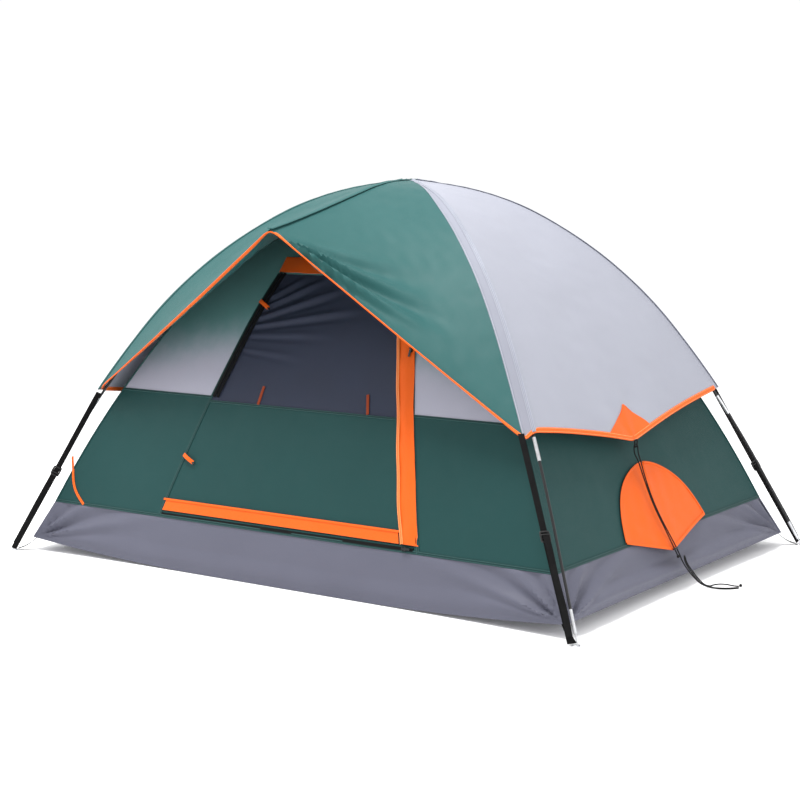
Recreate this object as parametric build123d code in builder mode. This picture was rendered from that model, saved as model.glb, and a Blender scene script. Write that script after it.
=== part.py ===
from build123d import *
from math import cos, hypot, pi, radians, sin, tan
import os

os.makedirs("parts", exist_ok=True)

# Two-person dome tent, pitched. Millimetres, +Z up, front door towards -Y,
# origin on the ground under the crown.

# --- frame: two crossing poles along the diagonals and one ridge pole for the fly ---
FOOT_X = 1100.0                      # half spacing of the pole feet across the width
FOOT_Y = 803.0                       # half spacing of the pole feet front to back
DIAGONAL = hypot(FOOT_X, FOOT_Y)
CX = FOOT_X / DIAGONAL               # share of a diagonal distance that runs along X
CY = FOOT_Y / DIAGONAL               # share of a diagonal distance that runs along Y
CROWN = 1247.0                       # height of the nominal pole curve at the crown
ARC_RADII = (930.0, 1482.0, 3367.0)  # pole bends, from the crown downwards
ARC_ENDS = (27.73, 50.75, 61.0)      # slope below horizontal at the end of each bend
LIFT = 5.0                           # each pole leaves the nominal curve by this at the crossing
TUBE_R = 4.25
TUBE_BORE_R = 2.1
SECTIONS = 7                         # tube sections in one diagonal pole
TUBE_GAP = 1.0                       # gap between two butted sections, inside the ferrule
FERRULE_LENGTH = 75.0
FERRULE_BORE_R = 4.3
FERRULE_R = 5.3
TIP_LENGTH = 70.0                    # steel sleeve on each pole end
TIP_R = 5.1
FOOT_END_Z = 28.0                    # height of the lowest end of a pole
PIN_R = 1.9
PIN_INSIDE = 45.0
RING_R = 11.0
RING_WIRE_R = 1.6
SHOCK_CORD_R = 1.25
SHOCK_CORD_SHORT = 60.0              # the cord is knotted this far inside the pole end

RIDGE_RADIUS = 1100.0
RIDGE_SLOPE = 14.0
RIDGE_HALF = 773.0                   # half length of the fly's ridge, crown to awning peak
RIDGE_SECTIONS = 3
RIDGE_POLE_SHORT = 14.0              # the ridge pole ends this far inside the peak pocket
RIDGE_POLE_Z = CROWN + LIFT + 2 * TUBE_R + 0.5
RIDGE_SKIN = 8.8                     # fly's outer face above the ridge pole's centreline

# --- inner tent ---
INNER_GAP = 55.0                     # pole centreline to the inner tent's corner
FABRIC = 2.5
CORNER_GAP = 5.0
TUB_TOP = 170.0                      # height of the bathtub seam
BAND_TOP = 560.0                     # height of the lower wall band
FLOOR_X = 1034.0
FLOOR_Y = 740.0
FLOOR_THICK = 3.0
WALL_TOP = 1176.0

# --- door in the front wall, straight edges as seen from the front ---
DOOR_BOTTOM = 190.0
DOOR_TOP = 960.0
DOOR_HALF_BOTTOM = 500.0
DOOR_HALF_TOP = 276.0
DOOR_GAP = 3.0
FOLD_SHARE = 0.2                     # the fold line's share of the half width
FOLD_GAP = 5.0                       # gap between the door's two halves along the fold line
SIDE_BAND = 52.0
BOTTOM_BAND = 36.0
TOP_BAND = 38.0
BAND_THICK = 1.5
BAND_PROUD = 3.0                     # a band's outer face above the fabric under it

# --- rain fly ---
FLY_SKIN = 15.0                      # pole centreline to the fly's outer face
FLY_CORNER = 557.0                   # height of the four hem corners
FLY_V = 469.0                        # height of the side hems' lowest points
FLY_V_Y = -75.0                      # the hems' lowest points lie this far towards the back
CROWN_HOLE = 8.0
STRAP_WIDTH = 20.0
STRAP_THICK = 1.6
STRAP_ASIDE_TOP = 38.0               # strap centreline beside the pole
STRAP_ASIDE_FOOT = 17.0
ADJUSTER = (32.0, 28.0, 8.0)
ADJUSTER_SLOT = (21.5, 3.0)
ADJUSTER_SHARE = 0.5
STRAP_TWIST = {"front_left": 65.0, "front_right": 0.0, "back_left": 0.0, "back_right": 65.0}

PATCH_HALF = 140.0                   # orange tie-out patch: half its width along the hem
PATCH_TOP = 575.0
PATCH_LEAN = 25.0                    # the patch's tip lies this far behind its low point
PATCH_TIP = 18.0
LOOP = (22.0, 26.0, 2.0)             # webbing loop: width, drop, thickness
LOOP_HOLE = (12.0, 16.0)

# --- guy line: from the tensioner up through the loop, down again, then doubled up in a hank ---
GUY_R = 2.0
GUY_KNOT_R = 5.0
GUY_ROUTE = (
    (1052.4, -64.7, 115.6), (1025.4, -68.1, 166.1), (1009, -65, 192), (986, -67, 232), (963, -67, 275),
    (941, -62, 319), (925, -64, 361), (914, -71, 401), (903, -79, 425), (902, -77, 453),
    (912, -73, 453), (912, -69, 425), (916, -59, 400), (926, -54, 360), (942, -55, 318),
    (964, -60, 274), (987, -60, 231), (1010, -56, 190), (1034, -53, 150), (1050, -51, 120),
    (1062, -46, 90), (1074, -28, 60), (1086, -4, 32), (1100, 14, 12), (1122, 30, 4),
    (1150, 42, 2.3), (1178, 62, 2.3), (1190, 80, 2.3), (1199, 78, 2.3), (1184, 54, 2.3),
    (1156, 33, 2.3), (1127, 20, 5), (1107, 3, 15), (1094, -15, 37), (1083, -38, 66),
    (1073, -55, 94), (1067, -49, 112), (1064, -37, 110), (1068, -31, 86), (1080, -12, 57),
    (1090, 10, 30), (1102, 28, 10), (1114, 46, 3), (1112, 70, 2.3), (1124, 96, 2.3),
    (1150, 102, 2.3), (1172, 94, 2.3), (1188, 100, 2.3),
)
TENSIONER_RUN = 18                   # the tensioner sits in the middle of this run
TENSIONER = (26.0, 11.0, 4.5)
TENSIONER_PITCH = 14.0               # spacing of its two holes
TENSIONER_HOLE_R = 2.6


def arc_table():
    """Start distance, centre, radius and slopes of each bend of the nominal pole curve."""
    rows = []
    centre_s, centre_z = 0.0, CROWN - ARC_RADII[0]
    start, slope = 0.0, 0.0
    for index, (radius, end) in enumerate(zip(ARC_RADII, ARC_ENDS)):
        if index:
            change = ARC_RADII[index - 1] - radius
            centre_s += change * sin(slope)
            centre_z += change * cos(slope)
        rows.append((start, centre_s, centre_z, radius, slope, radians(end)))
        start += radius * (radians(end) - slope)
        slope = radians(end)
    return rows, start


ARCS, BEND_LENGTH = arc_table()


def pole_curve(distance, outward=0.0):
    """Diagonal distance, height and slope on the pole curve, for a distance from the crown."""
    if distance >= BEND_LENGTH:
        _, cs, cz, radius, _, slope = ARCS[-1]
        run = distance - BEND_LENGTH
        s = cs + (radius + outward) * sin(slope) + run * cos(slope)
        z = cz + (radius + outward) * cos(slope) - run * sin(slope)
        return s, z, slope
    for start, cs, cz, radius, slope, end in ARCS:
        if distance <= start + radius * (end - slope) + 1e-9:
            slope += (distance - start) / radius
            return cs + (radius + outward) * sin(slope), cz + (radius + outward) * cos(slope), slope


def distance_at_height(height, outward=0.0):
    """Distance from the crown at which the offset pole curve has a height."""
    low, high = 0.0, 2300.0
    for _ in range(50):
        middle = (low + high) / 2
        if pole_curve(middle, outward)[1] > height:
            low = middle
        else:
            high = middle
    return low


HALF_POLE = distance_at_height(FOOT_END_Z)
BEND_MARKS = [row[0] for row in ARCS[1:]] + [BEND_LENGTH]


# --- poles ---
def diagonal_plane(side, lift):
    """Upright plane of one diagonal: local x along the diagonal, local y up."""
    return Plane(origin=(0, 0, lift), x_dir=(CX, side * CY, 0), z_dir=(side * CY, -CX, 0))


def signed_point(distance):
    s, z, _ = pole_curve(abs(distance))
    return (s if distance >= 0 else -s), z


def pole_line(plane, start, end):
    """The pole's centreline between two signed distances from the crown."""
    marks = sorted([-m for m in BEND_MARKS] + BEND_MARKS)
    stops = [start] + [m for m in marks if start < m < end] + [end]
    with BuildLine(plane, mode=Mode.PRIVATE) as line:
        for low, high in zip(stops, stops[1:]):
            if min(abs(low), abs(high)) >= BEND_LENGTH - 1e-6:
                Line(signed_point(low), signed_point(high))
            else:
                ThreePointArc(signed_point(low), signed_point((low + high) / 2), signed_point(high))
    return line.wire()


def ridge_point(distance, above=0.0):
    """Front-to-back distance and height on the ridge pole's centreline."""
    bend = RIDGE_RADIUS * radians(RIDGE_SLOPE)
    slope = min(abs(distance) / RIDGE_RADIUS, radians(RIDGE_SLOPE))
    run = max(abs(distance) - bend, 0.0)
    y = (RIDGE_RADIUS + above) * sin(slope) + run * cos(slope)
    z = RIDGE_POLE_Z - RIDGE_RADIUS + (RIDGE_RADIUS + above) * cos(slope) - run * sin(slope)
    return (y if distance >= 0 else -y), z


def ridge_line(start, end):
    bend = RIDGE_RADIUS * radians(RIDGE_SLOPE)
    stops = [start] + [m for m in (-bend, bend) if start < m < end] + [end]
    with BuildLine(Plane.YZ, mode=Mode.PRIVATE) as line:
        for low, high in zip(stops, stops[1:]):
            if low * high > 0 and min(abs(low), abs(high)) >= bend - 1e-6:
                Line(ridge_point(low), ridge_point(high))
            else:
                ThreePointArc(ridge_point(low), ridge_point((low + high) / 2), ridge_point(high))
    return line.wire()


def sweep_round(path, outer, bore=0.0):
    """Sweep a rod or a tube along a path, in the part that is open."""
    with BuildSketch(Plane(origin=path @ 0, z_dir=path % 0)) as section:
        Circle(outer)
        if bore:
            Circle(bore, mode=Mode.SUBTRACT)
    sweep(section.sketch, path=path)


def joints_along(half, count):
    """Signed distances of the joints between the sections of a pole."""
    return [-half + 2 * half * index / count for index in range(1, count)]


def save(part, label):
    part.label = label
    export_step(part, f"parts/{label}.step")


POLES = {"front_left_pole": (1, -LIFT), "front_right_pole": (-1, LIFT)}
pole_joints = joints_along(HALF_POLE, SECTIONS)
pole_ends = [-HALF_POLE] + pole_joints + [HALF_POLE]

for name, (side, lift) in POLES.items():
    plane = diagonal_plane(side, lift)
    with BuildPart() as tubes:
        for low, high in zip(pole_ends, pole_ends[1:]):
            sweep_round(pole_line(plane, low + TUBE_GAP / 2, high - TUBE_GAP / 2), TUBE_R, TUBE_BORE_R)
    save(tubes.part, f"{name}_tubes")

with BuildPart() as ferrules:
    for side, lift in POLES.values():
        for joint in pole_joints:
            low, high = joint - FERRULE_LENGTH / 2, joint + FERRULE_LENGTH / 2
            sweep_round(pole_line(diagonal_plane(side, lift), low, high), FERRULE_R, FERRULE_BORE_R)
save(ferrules.part, "pole_ferrules")

with BuildPart() as tips:
    for side, lift in POLES.values():
        for low, high in ((-HALF_POLE, TIP_LENGTH - HALF_POLE), (HALF_POLE - TIP_LENGTH, HALF_POLE)):
            sweep_round(pole_line(diagonal_plane(side, lift), low, high), TIP_R, FERRULE_BORE_R)
save(tips.part, "pole_tips")

with BuildPart() as shock_cords:
    for side, lift in POLES.values():
        inside = HALF_POLE - SHOCK_CORD_SHORT
        sweep_round(pole_line(diagonal_plane(side, lift), -inside, inside), SHOCK_CORD_R)
save(shock_cords.part, "pole_shock_cords")

ridge_inside = RIDGE_HALF - RIDGE_POLE_SHORT
ridge_joints = joints_along(ridge_inside, RIDGE_SECTIONS)
ridge_ends = [-ridge_inside] + ridge_joints + [ridge_inside]

with BuildPart() as ridge_tubes:
    for low, high in zip(ridge_ends, ridge_ends[1:]):
        sweep_round(ridge_line(low + TUBE_GAP / 2, high - TUBE_GAP / 2), TUBE_R, TUBE_BORE_R)
save(ridge_tubes.part, "ridge_pole_tubes")

with BuildPart() as ridge_ferrules:
    for joint in ridge_joints:
        path = ridge_line(joint - FERRULE_LENGTH / 2, joint + FERRULE_LENGTH / 2)
        sweep_round(path, FERRULE_R, FERRULE_BORE_R)
save(ridge_ferrules.part, "ridge_pole_ferrules")

with BuildPart() as ridge_cord:
    cord_inside = ridge_inside - SHOCK_CORD_SHORT / 4
    sweep_round(ridge_line(-cord_inside, cord_inside), SHOCK_CORD_R)
save(ridge_cord.part, "ridge_pole_shock_cord")


# --- feet: a pin that stands in the pole end, hooked on a ring that takes the stake ---
CORNERS = {
    "front_left": (-1, -1, -LIFT),
    "front_right": (1, -1, LIFT),
    "back_left": (-1, 1, LIFT),
    "back_right": (1, 1, -LIFT),
}


def corner_plane(sx, sy, lift=0.0):
    """Upright plane through one corner: local x outwards along the diagonal, local y up."""
    return Plane(origin=(0, 0, lift), x_dir=(sx * CX, sy * CY, 0), z_dir=(sy * CY, -sx * CX, 0))


PIN_TOP = pole_curve(HALF_POLE - PIN_INSIDE)
PIN_LOW_Z = 2 * RING_WIRE_R + 1.0
FOOT_SLOPE = radians(ARC_ENDS[-1])


def pin_low(lift):
    """Diagonal distance and height of the pin's lower end, in the lifted corner plane."""
    z = PIN_LOW_Z - lift
    return PIN_TOP[0] + (PIN_TOP[1] - z) / tan(FOOT_SLOPE), z


RING_S = pin_low(0.0)[0] - RING_R + RING_WIRE_R + PIN_R

with BuildPart() as foot_pins:
    for sx, sy, lift in CORNERS.values():
        with BuildLine(corner_plane(sx, sy, lift), mode=Mode.PRIVATE) as pin_line:
            Line(PIN_TOP[:2], pin_low(lift))
        sweep_round(pin_line.wire(), PIN_R)
save(foot_pins.part, "foot_pins")

with BuildPart() as foot_rings:
    for sx, sy, lift in CORNERS.values():
        with Locations((sx * CX * RING_S, sy * CY * RING_S, RING_WIRE_R)):
            Torus(RING_R, RING_WIRE_R)
save(foot_rings.part, "foot_rings")


# --- fabric panels: thin solids lofted through strips that run level across a wall ---
FRONT = (Vector(0, -1, 0), Vector(1, 0, 0), CY, CX)
BACK = (Vector(0, 1, 0), Vector(-1, 0, 0), CY, CX)
LEFT = (Vector(-1, 0, 0), Vector(0, -1, 0), CX, CY)
RIGHT = (Vector(1, 0, 0), Vector(0, 1, 0), CX, CY)


def strip_plane(wall, distance, outward):
    """Plane of one strip: local x along the wall, local y along its outward normal."""
    out, along, share, _ = wall
    s, z, slope = pole_curve(distance, outward)
    normal = (out * sin(slope) + Vector(0, 0, share * cos(slope))).normalized()
    origin = out * (s * share) + Vector(0, 0, z)
    return Plane(origin=origin, x_dir=along, z_dir=along.cross(normal)), s, z


def wall_loft(wall, outward, low, high, edges, thick=FABRIC, strips=5):
    """Loft a panel between two heights; edges(height, half width) gives its two sides."""
    start = distance_at_height(high, outward)
    end = distance_at_height(low, outward)
    sections = []
    for index in range(strips):
        distance = start + (end - start) * index / (strips - 1)
        plane, s, z = strip_plane(wall, distance, outward)
        left, right = edges(z, s * wall[3] - CORNER_GAP)
        with BuildSketch(plane) as strip:
            with Locations(((left + right) / 2, -thick / 2)):
                Rectangle(right - left, thick)
        sections.append(strip.sketch)
    loft(sections)


def full_width(height, half):
    return -half, half


def door_half(height):
    share = (height - DOOR_BOTTOM) / (DOOR_TOP - DOOR_BOTTOM)
    return DOOR_HALF_BOTTOM + (DOOR_HALF_TOP - DOOR_HALF_BOTTOM) * share


def left_of_door(height, half):
    return -half, -door_half(height) - DOOR_GAP


def right_of_door(height, half):
    return door_half(height) + DOOR_GAP, half


def door_left_part(height, half):
    return -door_half(height), FOLD_SHARE * door_half(height) - FOLD_GAP / 2


def door_right_part(height, half):
    return FOLD_SHARE * door_half(height) + FOLD_GAP / 2, door_half(height)


def sill_width(height, half):
    return -door_half(DOOR_BOTTOM), door_half(DOOR_BOTTOM)


SEAM_GAP = 1.5                       # half the gap left along each sewn seam
SILL = DOOR_BOTTOM - 2 * SEAM_GAP

WALLS = {
    "front_wall_left_lower": (FRONT, TUB_TOP, BAND_TOP, left_of_door),
    "front_wall_right_lower": (FRONT, TUB_TOP, BAND_TOP, right_of_door),
    "front_wall_left_upper": (FRONT, BAND_TOP, DOOR_TOP, left_of_door),
    "front_wall_right_upper": (FRONT, BAND_TOP, DOOR_TOP, right_of_door),
    "front_wall_top": (FRONT, DOOR_TOP + SEAM_GAP, WALL_TOP, full_width),
    "back_wall_lower": (BACK, TUB_TOP, BAND_TOP, full_width),
    "left_wall_lower": (LEFT, TUB_TOP, BAND_TOP, full_width),
    "left_wall_upper": (LEFT, BAND_TOP, WALL_TOP, full_width),
    "right_wall_lower": (RIGHT, TUB_TOP, BAND_TOP, full_width),
    "right_wall_upper": (RIGHT, BAND_TOP, WALL_TOP, full_width),
    "door_left_lower": (FRONT, DOOR_BOTTOM, BAND_TOP, door_left_part),
    "door_right_lower": (FRONT, DOOR_BOTTOM, BAND_TOP, door_right_part),
    "door_left_window": (FRONT, BAND_TOP, DOOR_TOP, door_left_part),
    "door_right_window": (FRONT, BAND_TOP, DOOR_TOP, door_right_part),
}
for label, (wall, low, high, edges) in WALLS.items():
    with BuildPart() as panel:
        wall_loft(wall, -INNER_GAP, low + SEAM_GAP, high - SEAM_GAP, edges)
    save(panel.part, label)

WINDOW_LOW = 650.0
WINDOW_HIGH = 960.0
WINDOW_HALF_LOW = 340.0
WINDOW_HALF_HIGH = 220.0


def window_outline(margin):
    """Rear window outline as seen from the back, drawn on the front-facing XZ plane."""
    return [
        (-WINDOW_HALF_LOW + margin, WINDOW_LOW + margin),
        (WINDOW_HALF_LOW - margin, WINDOW_LOW + margin),
        (WINDOW_HALF_HIGH - margin, WINDOW_HIGH - margin),
        (-WINDOW_HALF_HIGH + margin, WINDOW_HIGH - margin),
    ]


with BuildPart() as back_wall_upper:
    wall_loft(BACK, -INNER_GAP, BAND_TOP + SEAM_GAP, WALL_TOP - SEAM_GAP, full_width)
    with BuildSketch(Plane.XZ):
        Polygon(*window_outline(0.0), align=None)
    extrude(amount=-FOOT_Y, mode=Mode.SUBTRACT)
save(back_wall_upper.part, "back_wall_upper")

with BuildPart() as rear_window:
    wall_loft(BACK, -INNER_GAP, BAND_TOP + SEAM_GAP, WALL_TOP - SEAM_GAP, full_width)
    with BuildSketch(Plane.XZ):
        Polygon(*window_outline(SEAM_GAP), align=None)
    extrude(amount=-FOOT_Y, mode=Mode.INTERSECT)
save(rear_window.part, "rear_window_mesh")

# The strip under the door's sill joins the two lower front panels.
with BuildPart() as door_sill:
    wall_loft(FRONT, -INNER_GAP, TUB_TOP + SEAM_GAP, SILL, sill_width, strips=2)
save(door_sill.part, "door_sill")

# --- bathtub floor ---
with BuildPart() as groundsheet:
    with Locations((0, 0, FLOOR_THICK / 2)):
        Box(2 * FLOOR_X, 2 * FLOOR_Y, FLOOR_THICK)
save(groundsheet.part, "groundsheet")


def tub_wall(wall, foot, foot_half):
    """Upright side of the bathtub floor, from the ground to the seam."""
    out, along, share, other = wall
    s, _, _ = pole_curve(distance_at_height(TUB_TOP, -INNER_GAP), -INNER_GAP)
    low_z = FLOOR_THICK + 0.3
    high_z = TUB_TOP - SEAM_GAP
    sections = []
    for height, reach, half in ((low_z, foot, foot_half), (high_z, s * share, s * other)):
        inset = FABRIC / 2
        with BuildSketch(Plane(origin=(0, 0, height), x_dir=along, z_dir=(0, 0, 1))) as strip:
            level = strip.workplanes[0].to_local_coords(out * (reach - inset))
            with Locations((level.X, level.Y)):
                Rectangle(2 * (half - CORNER_GAP), FABRIC)
        sections.append(strip.sketch)
    loft(sections, ruled=True)


with BuildPart() as tub_walls:
    tub_wall(FRONT, FLOOR_Y, FLOOR_X)
    tub_wall(BACK, FLOOR_Y, FLOOR_X)
    tub_wall(LEFT, FLOOR_X, FLOOR_Y)
    tub_wall(RIGHT, FLOOR_X, FLOOR_Y)
save(tub_walls.part, "tub_walls")


# --- sewn-on bands, zips and tabs of the door ---
PROUD = BAND_PROUD - INNER_GAP
COIL_THICK = 1.4
COIL_PROUD = 3.0 - INNER_GAP
COIL_GAP = 4.0
COIL_WIDTH = 6.0
COIL_BOTTOM = 175.0
COIL_TOP = 184.0
TAB_HEIGHTS = (371.0, 869.0)
TAB_BEHIND = 6.0
TAB_AHEAD = 22.0


def side_band_edges(height, half):
    return door_half(height) - SIDE_BAND, door_half(height) - SEAM_GAP


def side_coil_edges(height, half):
    return door_half(height) + COIL_GAP, door_half(height) + COIL_GAP + COIL_WIDTH


def top_band_edges(height, half):
    return -door_half(DOOR_TOP), door_half(DOOR_TOP)


def bottom_band_right_edges(height, half):
    return FOLD_SHARE * door_half(height) + FOLD_GAP / 2, door_half(height) - SIDE_BAND - SEAM_GAP


def tab_edges(height, half):
    return -door_half(height) - TAB_BEHIND, -door_half(height) + TAB_AHEAD


BANDS = {
    "door_top_band": (PROUD, BAND_THICK, DOOR_TOP + SEAM_GAP, DOOR_TOP + TOP_BAND, top_band_edges),
    "door_side_band": (PROUD, BAND_THICK, DOOR_BOTTOM + SEAM_GAP, DOOR_TOP - SEAM_GAP, side_band_edges),
    "door_bottom_band_left": (
        PROUD, BAND_THICK, DOOR_BOTTOM + SEAM_GAP, DOOR_BOTTOM + BOTTOM_BAND, door_left_part),
    "door_bottom_band_right": (
        PROUD, BAND_THICK, DOOR_BOTTOM + SEAM_GAP, DOOR_BOTTOM + BOTTOM_BAND, bottom_band_right_edges),
}
for label, (outward, thick, low, high, edges) in BANDS.items():
    with BuildPart() as band:
        wall_loft(FRONT, outward, low, high, edges, thick)
    save(band.part, label)

with BuildPart() as zip_coils:
    wall_loft(FRONT, COIL_PROUD, DOOR_BOTTOM + SEAM_GAP, DOOR_TOP - SEAM_GAP, side_coil_edges, COIL_THICK)
    wall_loft(FRONT, COIL_PROUD, COIL_BOTTOM, COIL_TOP, sill_width, COIL_THICK, strips=2)
save(zip_coils.part, "door_zip_coils")

with BuildPart() as toggle_tabs:
    for height in TAB_HEIGHTS:
        wall_loft(FRONT, PROUD, height - 6.0, height + 6.0, tab_edges, BAND_THICK, strips=2)
save(toggle_tabs.part, "door_toggle_tabs")


# --- zip sliders: a body over the coil, two ears with an axle, and the pull on it ---
SLIDER = (12.0, 5.0, 16.0)           # across the zip, proud of it, along it
SLIDER_LIFT = 1.5
EAR = (1.5, 4.4, 4.0)
EAR_ASIDE = 5.0
AXLE_UP = 2.4                        # axle above the slider's face
AXLE_BACK = 4.0
AXLE_R = 0.8
PULL = (7.2, 1.6, 26.0)
PULL_EYE_R = 2.0
PULL_HOLE_R = 0.9
SIDE_SLIDER_Z = 750.0
BOTTOM_SLIDER_X = 470.0


def make_slider(plane):
    """Slider body on a plane whose y points outwards and whose z runs along the zip."""
    across, proud, along = SLIDER
    with BuildSketch(plane.offset(-along / 2)) as body:
        with Locations((0, proud / 2)):
            RectangleRounded(across, proud, 1.2)
    extrude(body.sketch, amount=along)
    with BuildSketch(plane.offset(-AXLE_BACK - EAR[2] / 2)) as ears:
        with Locations((-EAR_ASIDE, proud + EAR[1] / 2 - 0.5), (EAR_ASIDE, proud + EAR[1] / 2 - 0.5)):
            Rectangle(EAR[0], EAR[1])
    extrude(ears.sketch, amount=EAR[2])
    axle_plane = Plane(origin=axle_point(plane), x_dir=plane.y_dir, z_dir=plane.x_dir)
    with BuildSketch(axle_plane.offset(-EAR_ASIDE)) as axle:
        Circle(AXLE_R)
    extrude(axle.sketch, amount=2 * EAR_ASIDE)


def axle_point(plane):
    return plane.from_local_coords(Vector(0, SLIDER[1] + AXLE_UP, -AXLE_BACK))


def make_pull(plane):
    """Pull tab with its eye round the slider's axle, lying along the zip."""
    width, thick, length = PULL
    eye_plane = Plane(origin=axle_point(plane), x_dir=plane.y_dir, z_dir=plane.x_dir)
    with BuildSketch(eye_plane.offset(-width / 2)) as eye:
        Circle(PULL_EYE_R)
        Circle(PULL_HOLE_R, mode=Mode.SUBTRACT)
    extrude(eye.sketch, amount=width)
    blade_plane = Plane(origin=axle_point(plane), x_dir=plane.x_dir, z_dir=plane.y_dir)
    with BuildSketch(blade_plane.offset(-thick / 2)) as blade:
        reach = PULL_EYE_R * 0.8
        side = 1 if blade.workplanes[0].to_local_coords(plane.origin + plane.z_dir * length).Y > 0 else -1
        with Locations((0, side * (reach + length / 2))):
            RectangleRounded(width, length, 2.0)
    extrude(blade.sketch, amount=thick)


COIL_FACE = COIL_PROUD + SLIDER_LIFT
side_strip, _, side_z = strip_plane(FRONT, distance_at_height(SIDE_SLIDER_Z, COIL_FACE), COIL_FACE)
side_x = door_half(side_z) + COIL_GAP + COIL_WIDTH / 2
SIDE_SLIDER = Plane(origin=side_strip.from_local_coords(Vector(side_x, 0, 0)),
                    x_dir=side_strip.x_dir, z_dir=side_strip.z_dir)
coil_middle = (COIL_BOTTOM + COIL_TOP) / 2
low_strip, _, _ = strip_plane(FRONT, distance_at_height(coil_middle, COIL_FACE), COIL_FACE)
BOTTOM_SLIDER = Plane(origin=low_strip.from_local_coords(Vector(BOTTOM_SLIDER_X, 0, 0)),
                      x_dir=low_strip.z_dir * -1, z_dir=low_strip.x_dir)

for name, plane in (("side_zip", SIDE_SLIDER), ("bottom_zip", BOTTOM_SLIDER)):
    with BuildPart() as slider:
        make_slider(plane)
    save(slider.part, f"{name}_slider")
    with BuildPart() as pull:
        make_pull(plane)
    save(pull.part, f"{name}_pull")


# --- vent hood low on the right side wall ---
HOOD_TOP = 385.0
HOOD_PROUD = 3.0
HOOD_THICK = 2.0
HOOD_ARCH = ((-276, 12), (-215, 145), (-35, 232), (70, 228), (215, 140), (274, 14))
HOOD_TIP = (-58, -52)

hood_low, _, _ = strip_plane(RIGHT, distance_at_height(TUB_TOP, -INNER_GAP), -INNER_GAP)
hood_high, _, _ = strip_plane(RIGHT, distance_at_height(HOOD_TOP, -INNER_GAP), -INNER_GAP)
hood_up = (hood_high.origin - hood_low.origin).normalized()
hood_plane = Plane(origin=hood_low.origin, x_dir=(0, 1, 0), z_dir=Vector(0, 1, 0).cross(hood_up))

with BuildPart() as vent_hood:
    with BuildSketch(hood_plane.offset(HOOD_PROUD + FABRIC)):
        with BuildLine():
            Spline(*HOOD_ARCH)
            Polyline(HOOD_ARCH[-1], HOOD_TIP, HOOD_ARCH[0])
        make_face()
    extrude(amount=HOOD_THICK)
save(vent_hood.part, "vent_hood")


# --- clips and webbing that hang the inner tent from the poles ---
CLIP_STATIONS = (200.0, 620.0, 1010.0)
CLIP_R = 6.4
CLIP_BORE_R = 4.6
CLIP_LENGTH = 16.0
CLIP_NECK = 15.0
CLIP_THICK = 4.0
TAB_THICK = 1.6
TAB_END = 2.5                        # gap left before the inner tent's corner


def clip_plane(sx, sy, lift, distance):
    """Plane across a pole: local x points in towards the tent, local z along the pole."""
    s, z, slope = pole_curve(distance)
    corner = corner_plane(sx, sy, lift)
    return Plane(
        origin=corner.from_local_coords(Vector(s, z, 0)),
        x_dir=corner.x_dir * -sin(slope) + Vector(0, 0, -cos(slope)),
        z_dir=corner.x_dir * cos(slope) + Vector(0, 0, -sin(slope)),
    )


with BuildPart() as pole_clips:
    for sx, sy, lift in CORNERS.values():
        for distance in CLIP_STATIONS:
            plane = clip_plane(sx, sy, lift, distance)
            with BuildSketch(plane.offset(-CLIP_LENGTH / 2)):
                Circle(CLIP_R)
                with Locations(((CLIP_BORE_R + CLIP_NECK) / 2, 0)):
                    Rectangle(CLIP_NECK - CLIP_BORE_R, CLIP_THICK)
                Circle(CLIP_BORE_R, mode=Mode.SUBTRACT)
            extrude(amount=CLIP_LENGTH)
save(pole_clips.part, "pole_clips")

with BuildPart() as clip_tabs:
    for sx, sy, lift in CORNERS.values():
        for distance in CLIP_STATIONS:
            plane = clip_plane(sx, sy, lift, distance)
            inner = INNER_GAP + lift * cos(pole_curve(distance)[2]) - TAB_END
            with BuildSketch(plane.offset(-CLIP_LENGTH / 2)):
                with Locations(((CLIP_NECK + inner) / 2 + 0.2, 0)):
                    Rectangle(inner - CLIP_NECK - 0.4, TAB_THICK)
            extrude(amount=CLIP_LENGTH)
save(clip_tabs.part, "clip_tabs")

WEBBING_IN = hypot(FLOOR_X, FLOOR_Y) + 6.0
WEBBING_OUT = RING_S - RING_R - RING_WIRE_R - 1.0
WEBBING_IN_Z = 12.0
WEBBING_OUT_Z = 5.0

with BuildPart() as corner_webbing:
    for sx, sy, _ in CORNERS.values():
        with BuildSketch(corner_plane(sx, sy).offset(-STRAP_WIDTH / 2)):
            Polygon((WEBBING_IN, WEBBING_IN_Z), (WEBBING_OUT, WEBBING_OUT_Z),
                    (WEBBING_OUT, WEBBING_OUT_Z - STRAP_THICK), (WEBBING_IN, WEBBING_IN_Z - STRAP_THICK),
                    align=None)
        extrude(amount=STRAP_WIDTH)
save(corner_webbing.part, "corner_webbing")


# --- rain fly ---
CROWN_EDGE = 12.0
SIDE_GAP = 3.0                       # gap between a side panel and the pole line's seam
fly_corner_distance = distance_at_height(FLY_CORNER, FLY_SKIN)
fly_corner_s = pole_curve(fly_corner_distance, FLY_SKIN)[0]


def fly_width(height, half):
    return -half - CORNER_GAP + SIDE_GAP, half + CORNER_GAP - SIDE_GAP


def below_side_hem():
    """Outline of what lies under a side hem, in the YZ plane."""
    side = fly_corner_s * CY
    return [(-FOOT_Y, FLY_CORNER), (-side, FLY_CORNER), (FLY_V_Y, FLY_V), (side, FLY_CORNER),
            (FOOT_Y, FLY_CORNER), (FOOT_Y, 0), (-FOOT_Y, 0)]


def hem_height(y):
    side = fly_corner_s * CY
    end = side if y > FLY_V_Y else -side
    return FLY_V + (FLY_CORNER - FLY_V) * (y - FLY_V_Y) / (end - FLY_V_Y)


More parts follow.
